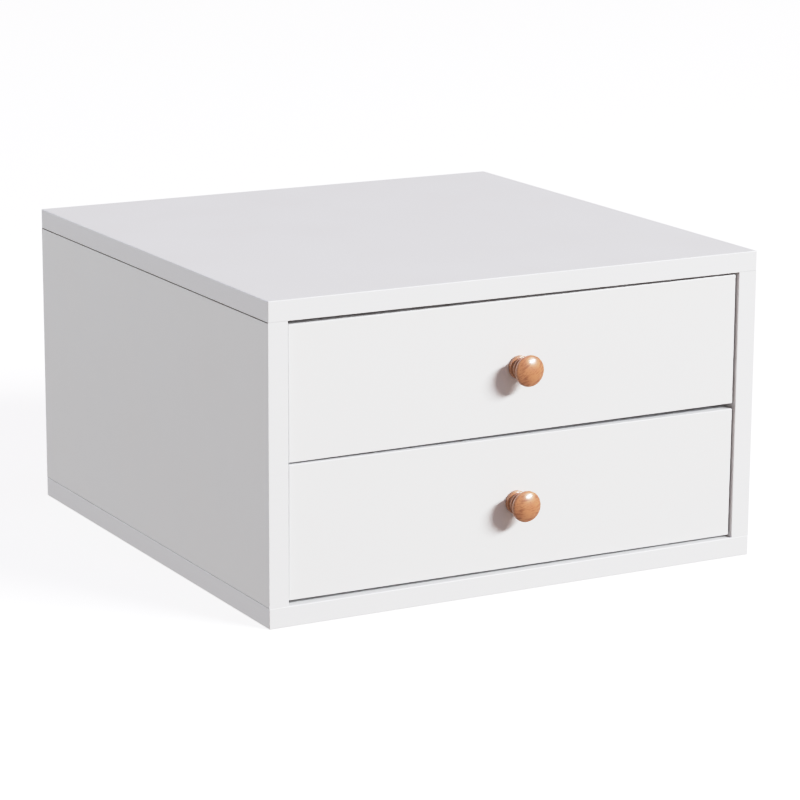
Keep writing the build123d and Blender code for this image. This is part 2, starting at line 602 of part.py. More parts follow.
runner_screws = []
front_axles = []
for name, side in SIDES.items():
    save(f"{name}_side_panel", side_board(side))
    save(f"{name}_side_edging", *side_edging(side))
    for level, drawer in DRAWERS.items():
        runner_z = drawer["runner_z"]
        save(f"{level}_{name}_cabinet_runner", cabinet_member(side, runner_z))
        wheel_z = runner_z + FRONT_ROLLER_Z
        wheel = roller(side, FRONT_ROLLER_START, FRONT_ROLLER_Y, wheel_z, FRONT_ROLLER_RADIUS, False)
        save(f"{level}_{name}_front_roller", wheel)
        front_axles.append(front_axle(side, runner_z))
        for y in runner_screw_places():
            face = (across(side, RUNNER_STEEL), y, runner_z + REAR_ROLLER_Z)
            runner_screws.append(
                pan_screw(face, (side, 0, 0), WOOD_SCREW_RADIUS, CABINET_SCREW_LENGTH,
                          WOOD_SCREW_HEAD_RADIUS, WOOD_SCREW_HEAD_THICK)
            )
save("cabinet_runner_screws", *runner_screws)
save("front_roller_axles", *front_axles)

# ---- drawers ----
for level, drawer in DRAWERS.items():
    runner_z = drawer["runner_z"]
    save(f"{level}_drawer_front", drawer_front(drawer))
    save(f"{level}_front_edging", leaning(front_band(drawer["front_z"]), drawer))
    save(f"{level}_drawer_back", drawer_back(drawer))
    save(f"{level}_drawer_bottom", drawer_bottom(drawer))
    save(f"{level}_knob", knob(drawer))
    save(f"{level}_knob_insert", knob_insert(drawer))
    save(f"{level}_knob_screw", knob_screw(drawer))
    save(f"{level}_front_dowels", *[dowel(joint, (0, 1, 0)) for joint in box_joints(drawer, "dowel")])
    save(
        f"{level}_front_cam_bolts",
        *[cam_bolt(joint, (0, 1, 0), MINI_CAM_DISTANCE) for joint in box_joints(drawer, "cam")],
    )
    box_cams = []
    box_screws = []
    member_screws = []
    rear_axles = []
    for name, side in SIDES.items():
        save(f"{level}_drawer_{name}_side", drawer_side(drawer, side))
        save(f"{level}_{name}_drawer_runner", drawer_member(side, runner_z))
        wheel_z = runner_z + REAR_ROLLER_Z
        wheel = roller(side, REAR_ROLLER_START, REAR_ROLLER_Y, wheel_z, REAR_ROLLER_RADIUS, True)
        save(f"{level}_{name}_rear_roller", wheel)
        rear_axles.append(rear_axle(side, runner_z))
        for joint in box_joints(drawer, "cam"):
            if joint[0] * side > 0:
                face = (side * BOX_INNER_X, BOX_FRONT_Y + MINI_CAM_DISTANCE, joint[2])
                bolt_depth = BOX_BOARD / 2
                box_cams.append(
                    cam_lock(face, (side, 0, 0), (0, -1, 0), MINI_CAM_RADIUS, MINI_CAM_THICK, bolt_depth)
                )
        for x, y, z in back_screw_places(drawer, side):
            seat = (x - side * BOX_SCREW_HEAD_THICK, y, z)
            length = BOX_SCREW_LENGTH - BOX_SCREW_HEAD_THICK - 1
            box_screws.append(
                pan_screw(seat, (-side, 0, 0), BOX_SCREW_RADIUS, length,
                          BOX_SCREW_HEAD_RADIUS, BOX_SCREW_HEAD_THICK)
            )
        for y in runner_screw_places():
            face = (across(side, RUNNER_SPACE - RUNNER_STEEL), y, runner_z + DRAWER_SCREW_Z)
            member_screws.append(
                pan_screw(face, (-side, 0, 0), WOOD_SCREW_RADIUS, DRAWER_SCREW_LENGTH,
                          WOOD_SCREW_HEAD_RADIUS - 0.3, WOOD_SCREW_HEAD_THICK)
            )
    save(f"{level}_front_cam_locks", *box_cams)
    save(f"{level}_back_screws", *box_screws)
    save(f"{level}_drawer_runner_screws", *member_screws)
    save(f"{level}_rear_roller_axles", *rear_axles)
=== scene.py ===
"""A low two-drawer desktop cabinet in white melamine-faced board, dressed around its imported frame."""

import json
import logging
import math
from dataclasses import dataclass
from enum import Enum
from typing import ClassVar

import bmesh
import bpy
from mathutils import Matrix, Quaternion, Vector


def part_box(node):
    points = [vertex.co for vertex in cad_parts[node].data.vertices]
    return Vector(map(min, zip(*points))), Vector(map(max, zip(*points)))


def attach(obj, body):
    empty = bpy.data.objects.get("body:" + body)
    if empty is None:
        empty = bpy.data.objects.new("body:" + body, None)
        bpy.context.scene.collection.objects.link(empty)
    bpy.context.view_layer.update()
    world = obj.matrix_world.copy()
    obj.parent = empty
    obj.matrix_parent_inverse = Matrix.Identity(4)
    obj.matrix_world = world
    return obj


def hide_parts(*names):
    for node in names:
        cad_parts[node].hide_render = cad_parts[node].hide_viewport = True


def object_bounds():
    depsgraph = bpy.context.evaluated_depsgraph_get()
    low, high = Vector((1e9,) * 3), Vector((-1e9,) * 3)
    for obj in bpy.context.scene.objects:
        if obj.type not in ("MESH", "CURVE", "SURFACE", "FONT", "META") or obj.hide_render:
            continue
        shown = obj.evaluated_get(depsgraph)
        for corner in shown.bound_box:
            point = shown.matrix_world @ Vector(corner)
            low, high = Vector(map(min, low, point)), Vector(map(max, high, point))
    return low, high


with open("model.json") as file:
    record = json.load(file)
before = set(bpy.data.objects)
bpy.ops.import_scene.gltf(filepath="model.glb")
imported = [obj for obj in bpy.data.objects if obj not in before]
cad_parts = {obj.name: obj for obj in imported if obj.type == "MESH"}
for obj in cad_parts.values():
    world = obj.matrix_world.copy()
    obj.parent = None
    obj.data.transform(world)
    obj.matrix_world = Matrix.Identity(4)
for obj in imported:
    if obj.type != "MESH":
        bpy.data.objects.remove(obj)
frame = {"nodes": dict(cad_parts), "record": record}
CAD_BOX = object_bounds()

LOG = logging.getLogger("cabinet")
MM = 0.001
LEVELS = ("upper", "lower")
SIDES = ("left", "right")
# Near its outer face a side stops this far short of the top and of the bottom panel, with a hair to spare.
TOP_RELIEF = 0.52 * MM
BOTTOM_RELIEF = 0.27 * MM
# Where a Mix node has its two colours and its mixed colour, by place.
MIX_COLOURS = (6, 7)
MIX_RESULT = 2
# Points of a made mesh closer than a weld become one, and sharper corners than these angles stay crisp.
WELD = 1e-6
FINE_WELD = 1e-7
TURNED_CORNER = math.radians(35)
FIXING_CORNER = math.radians(32)
SPIN_SEED = 7

Box = tuple[Vector, Vector]
Colour = tuple[float, float, float]
Outline = list[tuple[object, object]]
Shares = tuple[tuple[float, float], ...]
Socket = bpy.types.NodeSocket


class Slot(Enum):
    """The record's material slots."""

    BOARD = "white_board"
    EDGING = "white_edging"
    HARDBOARD = "white_hardboard"
    ZINC_ALLOY = "zinc_alloy"
    ZINC_STEEL = "zinc_steel"
    DOWEL = "beech_dowel"
    RUNNER = "white_runner_steel"
    NYLON = "white_nylon"
    KNOB = "beech_knob"
    BRASS = "brass"


# ---------------------------------------------------------------- shader trees
class ShaderTree:
    """A material's node tree, with short ways to add nodes and join them."""

    def __init__(self, name: str) -> None:
        """Start a material with a principled shader.

        Args:
            name: the material's name.
        """
        self.material = bpy.data.materials.new(name)
        self.material.use_nodes = True
        self.nodes = self.material.node_tree.nodes
        self.links = self.material.node_tree.links
        self.shader = self.nodes["Principled BSDF"]

    def add(self, kind: str, inputs: dict[str, object], **settings: object) -> bpy.types.Node:
        """Add a node.

        Args:
            kind: the node's type, without its ShaderNode prefix.
            inputs: a value or a socket for each named input.
            settings: the node's own properties.

        Returns:
            The new node.
        """
        node = self.nodes.new("ShaderNode" + kind)
        for name, value in settings.items():
            setattr(node, name, value)
        for name, value in inputs.items():
            self.feed(node.inputs[name], value)
        return node

    def feed(self, socket: Socket, value: object) -> None:
        """Give an input a value, or link a socket to it.

        Args:
            socket: the input.
            value: a number, a vector, a colour, or another node's output.
        """
        if isinstance(value, bpy.types.NodeSocket):
            self.links.new(value, socket)
        else:
            socket.default_value = value

    def place(self, centre: Vector = Vector(), turn: tuple[float, float, float] = (0, 0, 0)) -> Socket:
        """Object coordinates in millimetres, centred on a point and then turned.

        Args:
            centre: the point of the row frame that becomes the origin, in metres.
            turn: rotation about each axis, in degrees.

        Returns:
            The coordinates as a vector socket.
        """
        coordinates = self.add("TexCoord", {}).outputs["Object"]
        shift = self.add("Mapping", {"Vector": coordinates, "Location": tuple(-centre)})
        angles = tuple(math.radians(angle) for angle in turn)
        scale = (1 / MM,) * 3
        turned = self.add("Mapping", {"Vector": shift.outputs[0], "Rotation": angles, "Scale": scale})
        return turned.outputs[0]

    def stretch(self, vector: Socket, size: tuple[float, float, float]) -> Socket:
        """Divide coordinates in millimetres by a size on each axis, so that a pattern takes that size."""
        scale = tuple(1 / length for length in size)
        return self.add("Mapping", {"Vector": vector, "Scale": scale}).outputs[0]

    def noise(self, vector: Socket, detail: float = 2.0, roughness: float = 0.5) -> Socket:
        """Smooth noise from 0 to 1, with a number of finer layers and their strength."""
        inputs = {"Vector": vector, "Scale": 1.0, "Detail": detail, "Roughness": roughness}
        return self.add("TexNoise", inputs).outputs[0]

    def math(self, operation: str, first: object, second: object = 0.0) -> Socket:
        """One arithmetic step.

        Args:
            operation: the operation's name in capitals.
            first: the first number or socket.
            second: the second number or socket.

        Returns:
            The result.
        """
        node = self.add("Math", {}, operation=operation)
        self.feed(node.inputs[0], first)
        self.feed(node.inputs[1], second)
        return node.outputs[0]

    def remap(self, value: Socket, low: float, high: float, to_low: float, to_high: float) -> Socket:
        """Map the range from low to high onto another, smoothly and clamped."""
        inputs = {"Value": value, "From Min": low, "From Max": high, "To Min": to_low, "To Max": to_high}
        return self.add("MapRange", inputs, interpolation_type="SMOOTHSTEP").outputs[0]

    def blend(self, share: object, first: object, second: object, mode: str = "MIX") -> Socket:
        """Mix two colours.

        Args:
            share: how much of the second colour shows.
            first: the first colour or socket.
            second: the second colour or socket.
            mode: the blend mode's name in capitals.

        Returns:
            The mixed colour.
        """
        node = self.add("Mix", {}, data_type="RGBA", blend_type=mode)
        self.feed(node.inputs[0], share)
        for place, colour in zip(MIX_COLOURS, (first, second)):
            given = colour if isinstance(colour, bpy.types.NodeSocket) else (*colour, 1.0)
            self.feed(node.inputs[place], given)
        return node.outputs[MIX_RESULT]

    def bump(self, height: Socket, depth_mm: float, strength: float = 1.0) -> None:
        """Raise the surface by a height field from 0 to 1, where 1 stands so many millimetres above 0."""
        inputs = {"Height": height, "Distance": depth_mm * MM, "Strength": strength}
        self.links.new(self.add("Bump", inputs).outputs[0], self.shader.inputs["Normal"])

    def surface(self, **values: object) -> bpy.types.Material:
        """Set the principled shader's inputs, with underscores for spaces in their names.

        Args:
            values: a number, colour or socket for each input.

        Returns:
            The finished material.
        """
        for name, value in values.items():
            socket = self.shader.inputs[name.replace("_", " ")]
            if isinstance(value, tuple) and len(value) == 3 and len(socket.default_value) == 4:
                value = (*value, 1.0)
            self.feed(socket, value)
        return self.material


# ---------------------------------------------------------------- finishes
@dataclass(frozen=True)
class Melamine:
    """White melamine facing: satin, with a fine pearled press texture and faint mottling."""

    name: str = "melamine_white"
    colour: Colour = (0.80, 0.80, 0.80)
    shade: Colour = (0.792, 0.792, 0.794)
    mottle_mm: float = 60.0
    pearl_mm: float = 0.7
    pearl_depth_mm: float = 0.006
    roughness: tuple[float, float] = (0.36, 0.46)
    sawn_from: float = math.inf
    sawn_to: float = -math.inf
    # The chipboard core's colours, darkened beyond the real core's tone into painted shade for the seams
    # where the ends lie.
    chip_in_seam_shade: Colour = (0.150, 0.112, 0.080)
    chip_dark_in_seam_shade: Colour = (0.080, 0.056, 0.038)
    chip_mm: float = 0.9

    def sawn(self, tree: ShaderTree, facing: Socket) -> Socket:
        """Show the chipboard core on the sawn ends, above one height and below another, darker than bare
        chipboard as painted shade in the seams there.

        Args:
            tree: the material's tree.
            facing: the colour of the facing.

        Returns:
            The colour with the bare ends.
        """
        height = tree.add("SeparateXYZ", {"Vector": tree.place()}).outputs["Z"]
        above = tree.math("GREATER_THAN", height, self.sawn_from / MM)
        bare = tree.math("MAXIMUM", above, tree.math("LESS_THAN", height, self.sawn_to / MM))
        chips = tree.noise(tree.stretch(tree.place(), (self.chip_mm,) * 3), detail=2.0)
        # The core colour here is the chipboard's own tone darkened into painted seam shade.
        core = tree.blend(tree.remap(chips, 0.35, 0.65, 0.0, 1.0), self.chip_in_seam_shade, self.chip_dark_in_seam_shade)
        return tree.blend(bare, facing, core)

    def material(self) -> bpy.types.Material:
        """Build the material."""
        tree = ShaderTree(self.name)
        place = tree.place()
        cloud = tree.noise(tree.stretch(place, (self.mottle_mm,) * 3), detail=3.0)
        pearl = tree.noise(tree.stretch(place, (self.pearl_mm,) * 3), detail=2.0, roughness=0.6)
        wave = tree.noise(tree.stretch(place, (self.mottle_mm * 0.3,) * 3), detail=1.0)
        height = tree.math("ADD", tree.math("MULTIPLY", pearl, 0.8), tree.math("MULTIPLY", wave, 0.4))
        tree.bump(height, self.pearl_depth_mm)
        sheen = tree.math("ADD", tree.math("MULTIPLY", cloud, 0.6), tree.math("MULTIPLY", pearl, 0.4))
        facing = tree.blend(tree.remap(cloud, 0.35, 0.65, 0.0, 1.0), self.colour, self.shade)
        return tree.surface(
            Base_Color=self.sawn(tree, facing) if math.isfinite(self.sawn_from) else facing,
            Roughness=tree.remap(sheen, 0.35, 0.65, *self.roughness),
            IOR=1.5,
        )


@dataclass(frozen=True)
class EdgeBand:
    """Plastic edge band: a little smoother than the facing, with faint rolling marks along it."""

    name: str = "edge_band_white"
    colour: Colour = (0.80, 0.802, 0.815)
    shade: Colour = (0.785, 0.787, 0.80)
    roughness: tuple[float, float] = (0.30, 0.40)
    mark_mm: tuple[float, float, float] = (24.0, 24.0, 0.9)
    grain_mm: float = 0.5
    depth_mm: float = 0.002

    def material(self) -> bpy.types.Material:
        """Build the material."""
        tree = ShaderTree(self.name)
        place = tree.place()
        marks = tree.noise(tree.stretch(place, self.mark_mm), detail=3.0)
        grain = tree.noise(tree.stretch(place, (self.grain_mm,) * 3), detail=2.0)
        tree.bump(tree.math("ADD", marks, grain), self.depth_mm)
        return tree.surface(
            Base_Color=tree.blend(tree.remap(marks, 0.4, 0.7, 0.0, 0.6), self.colour, self.shade),
            Roughness=tree.remap(marks, 0.3, 0.7, *self.roughness),
            IOR=1.5,
        )


@dataclass(frozen=True)
class PaintedFibreboard:
    """Thin board with a white painted face over a felted fibre surface."""

    name: str = "fibreboard_white"
    colour: Colour = (0.77, 0.77, 0.765)
    shade: Colour = (0.752, 0.752, 0.745)
    fibre_mm: tuple[float, float, float] = (1.4, 1.4, 0.5)
    depth_mm: float = 0.02
    roughness: tuple[float, float] = (0.5, 0.62)

    def material(self) -> bpy.types.Material:
        """Build the material."""
        tree = ShaderTree(self.name)
        place = tree.place()
        fibres = tree.noise(tree.stretch(place, self.fibre_mm), detail=5.0, roughness=0.65)
        cloud = tree.noise(tree.stretch(place, (30.0,) * 3), detail=2.0)
        tree.bump(fibres, self.depth_mm)
        return tree.surface(
            Base_Color=tree.blend(tree.remap(cloud, 0.35, 0.65, 0.0, 1.0), self.colour, self.shade),
            Roughness=tree.remap(fibres, 0.3, 0.7, *self.roughness),
        )


@dataclass(frozen=True)
class Beech:
    """Beech with its grain along X before it is turned: soft streaks, fine pores and short dark rays.

    On a turned piece the grooves are darkened with painted shade, and the cap's rim and the bead's crest are
    lightened with a pale painted highlight.
    """

    name: str
    centre: Vector
    turn: tuple[float, float, float]
    light: Colour = (0.50, 0.226, 0.096)
    dark: Colour = (0.32, 0.120, 0.048)
    red: Colour = (0.43, 0.162, 0.070)
    ray_colour: Colour = (0.22, 0.080, 0.032)
    cloud_mm: float = 9.0
    streak_mm: tuple[float, float, float] = (11.0, 2.3, 1.6)
    pore_mm: tuple[float, float, float] = (3.2, 0.28, 0.28)
    ray_mm: tuple[float, float, float] = (2.0, 0.62, 0.42)
    pore_depth_mm: float = 0.005
    lacquer: float = 1.0
    roughness: float = 0.42
    turned: bool = False
    painted_light_share: float = 0.6
    groove_shade_colour: Colour = (0.20, 0.066, 0.024)
    edge_highlight: Colour = (0.72, 0.42, 0.26)

    def material(self) -> bpy.types.Material:
        """Build the material."""
        tree = ShaderTree(self.name)
        place = tree.place(self.centre, self.turn)
        cloud = tree.noise(tree.stretch(place, (self.cloud_mm,) * 3), detail=1.0)
        streaks = tree.noise(tree.stretch(place, self.streak_mm), detail=2.0, roughness=0.55)
        pores = tree.noise(tree.stretch(place, self.pore_mm), detail=2.0)
        rays = tree.noise(tree.stretch(place, self.ray_mm), detail=0.0)
        wood = tree.blend(tree.remap(cloud, 0.35, 0.65, 0.0, 0.55), self.light, self.red)
        wood = tree.blend(tree.remap(streaks, 0.42, 0.66, 0.0, 0.95), wood, self.dark)
        wood = tree.blend(tree.remap(pores, 0.52, 0.78, 0.0, 0.35), wood, self.dark)
        ray = tree.remap(rays, 0.66, 0.76, 0.0, 0.45)
        tree.bump(tree.math("SUBTRACT", 1.0, tree.math("MAXIMUM", ray, pores)), self.pore_depth_mm, 0.5)
        wood = tree.blend(ray, wood, self.ray_colour)
        # Painted shade darkens the knob's grooves and a pale painted highlight lightens its cap's rim and
        # bead's crest, each by a share stored on its points.
        if self.turned:
            for mark, colour in (("groove", self.groove_shade_colour), ("edge", self.edge_highlight)):
                share = tree.add("Attribute", {}, attribute_name=mark).outputs["Fac"]
                wood = tree.blend(tree.math("MULTIPLY", share, self.painted_light_share), wood, colour)
        return tree.surface(
            Base_Color=wood,
            Roughness=tree.remap(pores, 0.3, 0.7, self.roughness - 0.05, self.roughness + 0.08),
            Coat_Weight=self.lacquer,
            Coat_Roughness=0.18,
            Coat_IOR=1.5,
        )


@dataclass(frozen=True)
class Metal:
    """A metal finish with fine cloudy variation in its gloss."""

    name: str
    colour: Colour
    shade: Colour
    roughness: tuple[float, float]
    cloud_mm: float = 3.0
    grain_mm: float = 0.25
    depth_mm: float = 0.008

    def material(self) -> bpy.types.Material:
        """Build the material."""
        tree = ShaderTree(self.name)
        place = tree.place()
        cloud = tree.noise(tree.stretch(place, (self.cloud_mm,) * 3), detail=4.0, roughness=0.6)
        grain = tree.noise(tree.stretch(place, (self.grain_mm,) * 3), detail=2.0)
        tree.bump(grain, self.depth_mm)
        return tree.surface(
            Base_Color=tree.blend(tree.remap(cloud, 0.35, 0.65, 0.0, 1.0), self.colour, self.shade),
            Roughness=tree.remap(cloud, 0.3, 0.7, *self.roughness),
            Metallic=1.0,
        )


@dataclass(frozen=True)
class Coating:
    """Powder coat or moulded plastic: a pebbled skin over one colour, with faint scuffing."""

    name: str
    colour: Colour
    shade: Colour
    roughness: tuple[float, float]
    pebble_mm: float = 1.1
    depth_mm: float = 0.03

    def material(self) -> bpy.types.Material:
        """Build the material."""
        tree = ShaderTree(self.name)
        place = tree.place()
        pebble = tree.noise(tree.stretch(place, (self.pebble_mm,) * 3), detail=1.5)
        scuff = tree.noise(tree.stretch(place, (14.0, 3.0, 3.0)), detail=4.0, roughness=0.7)
        tree.bump(pebble, self.depth_mm)
        return tree.surface(
            Base_Color=tree.blend(tree.remap(scuff, 0.45, 0.75, 0.0, 0.8), self.colour, self.shade),
            Roughness=tree.remap(scuff, 0.35, 0.7, *self.roughness),
        )


class Finishes:
    """The cabinet's materials, one for each of the record's slots, made once and shared."""

    def __init__(self) -> None:
        """Build every shared material."""
        steel = Metal("zinc_plated_steel", (0.62, 0.64, 0.67), (0.50, 0.52, 0.55), (0.24, 0.38))
        alloy = Metal("die_cast_zinc", (0.50, 0.51, 0.53), (0.38, 0.39, 0.41), (0.38, 0.52), 2.0, 0.4, 0.03)
        brass = Metal("turned_brass", (0.72, 0.50, 0.20), (0.60, 0.39, 0.14), (0.2, 0.34))
        powder = Coating("runner_powder_coat", (0.76, 0.76, 0.75), (0.66, 0.66, 0.65), (0.34, 0.5))
        nylon = Coating("roller_nylon", (0.70, 0.70, 0.66), (0.60, 0.60, 0.57), (0.38, 0.5), 2.0, 0.01)
        dowel = Beech("raw_beech", Vector(), (0, 90, 0), (0.62, 0.42, 0.25), (0.50, 0.31, 0.17),
                      (0.56, 0.35, 0.20), (0.36, 0.20, 0.09), lacquer=0.0, roughness=0.65)
        # The side panels' top and bottom ends show chipboard darkened into painted seam shade.
        foot, head = (corner.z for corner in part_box("left_side_panel"))
        sides = Melamine("melamine_white_sides", sawn_from=head - TOP_RELIEF, sawn_to=foot + BOTTOM_RELIEF)
        self.side_board = sides.material()
        self.by_slot = {
            Slot.BOARD: Melamine().material(),
            Slot.EDGING: EdgeBand().material(),
            Slot.HARDBOARD: PaintedFibreboard().material(),
            Slot.ZINC_ALLOY: alloy.material(),
            Slot.ZINC_STEEL: steel.material(),
            Slot.DOWEL: dowel.material(),
            Slot.RUNNER: powder.material(),
            Slot.NYLON: nylon.material(),
            Slot.BRASS: brass.material(),
        }

    def dress(self, obj: bpy.types.Object, slot: Slot) -> None:
        """Give an object the finish of one slot all over."""
        obj.data.materials.clear()
        obj.data.materials.append(self.by_slot[slot])


# ---------------------------------------------------------------- meshes
def new_piece(name: str, mesh: bpy.types.Mesh, body: str, slot: Slot, *nodes: str) -> bpy.types.Object:
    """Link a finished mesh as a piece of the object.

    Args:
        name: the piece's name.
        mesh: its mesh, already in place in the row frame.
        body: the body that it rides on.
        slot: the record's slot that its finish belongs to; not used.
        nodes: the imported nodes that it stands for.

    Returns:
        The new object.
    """
    obj = bpy.data.objects.new(name, mesh)
    bpy.context.scene.collection.objects.link(obj)
    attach(obj, body)
    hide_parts(*nodes)
    LOG.info("%s rides on %s and stands for %s", name, body, ", ".join(nodes))
    return obj


def turned_mesh(name: str, outline: list[tuple[float, float]], base: Vector, axis: Vector,
                segments: int, closed: bool = False) -> bpy.types.Mesh:
    """Turn an outline about an axis into a closed mesh.

    Args:
        name: the mesh's name.
        outline: radius and distance along the axis of each point, in metres.
        base: where the axis starts.
        axis: its direction.
        segments: the number of steps round the axis.
        closed: whether the outline's ends meet, round a bore; otherwise both lie on the axis.

    Returns:
        The mesh, smooth shaded.
    """
    shape = bmesh.new()
    rings = [shape.verts.new((radius, 0.0, along)) for radius, along in outline]
    edges = [shape.edges.new(pair) for pair in zip(rings, rings[1:] + rings[:1] if closed else rings[1:])]
    bmesh.ops.spin(shape, geom=rings + edges, cent=(0, 0, 0), axis=(0, 0, 1), dvec=(0, 0, 0),
                   angle=2 * math.pi, steps=segments, use_merge=True)
    bmesh.ops.remove_doubles(shape, verts=shape.verts, dist=WELD)
    turn = Vector((0, 0, 1)).rotation_difference(axis).to_matrix().to_4x4()
    bmesh.ops.transform(shape, matrix=Matrix.Translation(base) @ turn, verts=shape.verts)
    bmesh.ops.recalc_face_normals(shape, faces=shape.faces)
    mesh = bpy.data.meshes.new(name)
    shape.to_mesh(mesh)
    shape.free()
    mesh.shade_smooth()
    mesh.set_sharp_from_angle(angle=TURNED_CORNER)
    return mesh


def arc_points(start: tuple[float, float], through: tuple[float, float], end: tuple[float, float],
               steps: int) -> list[tuple[float, float]]:
    """Points along the circle through three points, without the first one.

    Args:
        start: where the arc starts.
        through: a point that it passes.
        end: where it ends.
        steps: the number of points to give.

    Returns:
        The points in order, the last at the end.
    """
    (ax, ay), (bx, by), (cx, cy) = start, through, end
    doubled = 2 * (ax * (by - cy) + bx * (cy - ay) + cx * (ay - by))
    squares = [x * x + y * y for x, y in (start, through, end)]
    ux = (squares[0] * (by - cy) + squares[1] * (cy - ay) + squares[2] * (ay - by)) / doubled
    uy = (squares[0] * (cx - bx) + squares[1] * (ax - cx) + squares[2] * (bx - ax)) / doubled
    radius = math.hypot(ax - ux, ay - uy)
    angles = [math.atan2(y - uy, x - ux) for x, y in (start, through, end)]
    sweep = (angles[2] - angles[0]) % (2 * math.pi)
    if (angles[1] - angles[0]) % (2 * math.pi) > sweep:
        sweep -= 2 * math.pi
    turns = [angles[0] + sweep * step / steps for step in range(1, steps + 1)]
    return [(ux + radius * math.cos(turn), uy + radius * math.sin(turn)) for turn in turns]


# ---------------------------------------------------------------- places
@dataclass(frozen=True)
class Place:
    """Where one fixing sits: a point, the way its head faces, and the way its side faces."""

    at: Vector
    out: Vector
    aside: Vector

    def turn(self) -> Quaternion:
        """The rotation that takes Z to the head's way and X to the side's way."""
        return Matrix((self.aside, self.out.cross(self.aside), self.out)).transposed().to_quaternion()


def solids_of(node: str) -> list[Box]:
    """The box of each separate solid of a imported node.

    Args:
        node: the node's name.

    Returns:
        The lowest and highest corner of each solid, in metres.
    """
    shape = bmesh.new()
    shape.from_mesh(frame["nodes"][node].data)
    bmesh.ops.remove_doubles(shape, verts=shape.verts, dist=FINE_WELD)
    waiting = set(shape.verts)
    boxes = []
    while waiting:
        reached = [waiting.pop()]
        solid = []
        while reached:
            vert = reached.pop()
            solid.append(vert.co.copy())
            beside = {edge.other_vert(vert) for edge in vert.link_edges} & waiting
            waiting -= beside
            reached.extend(beside)
        low = Vector([min(point[axis] for point in solid) for axis in range(3)])
        high = Vector([max(point[axis] for point in solid) for axis in range(3)])
        boxes.append((low, high))
    shape.free()
    return sorted(boxes, key=lambda box: tuple(round(value, 6) for value in box[0]))


def end_of(box: Box, out: Vector) -> Vector:
    """The middle of a box's face on one side.

    Args:
        box: its lowest and highest corners.
        out: the way that the face looks, along an axis.

    Returns:
        The middle of that face.
    """
    low, high = box
    half = (high - low) / 2
    return (low + high) / 2 + Vector([out[axis] * half[axis] for axis in range(3)])


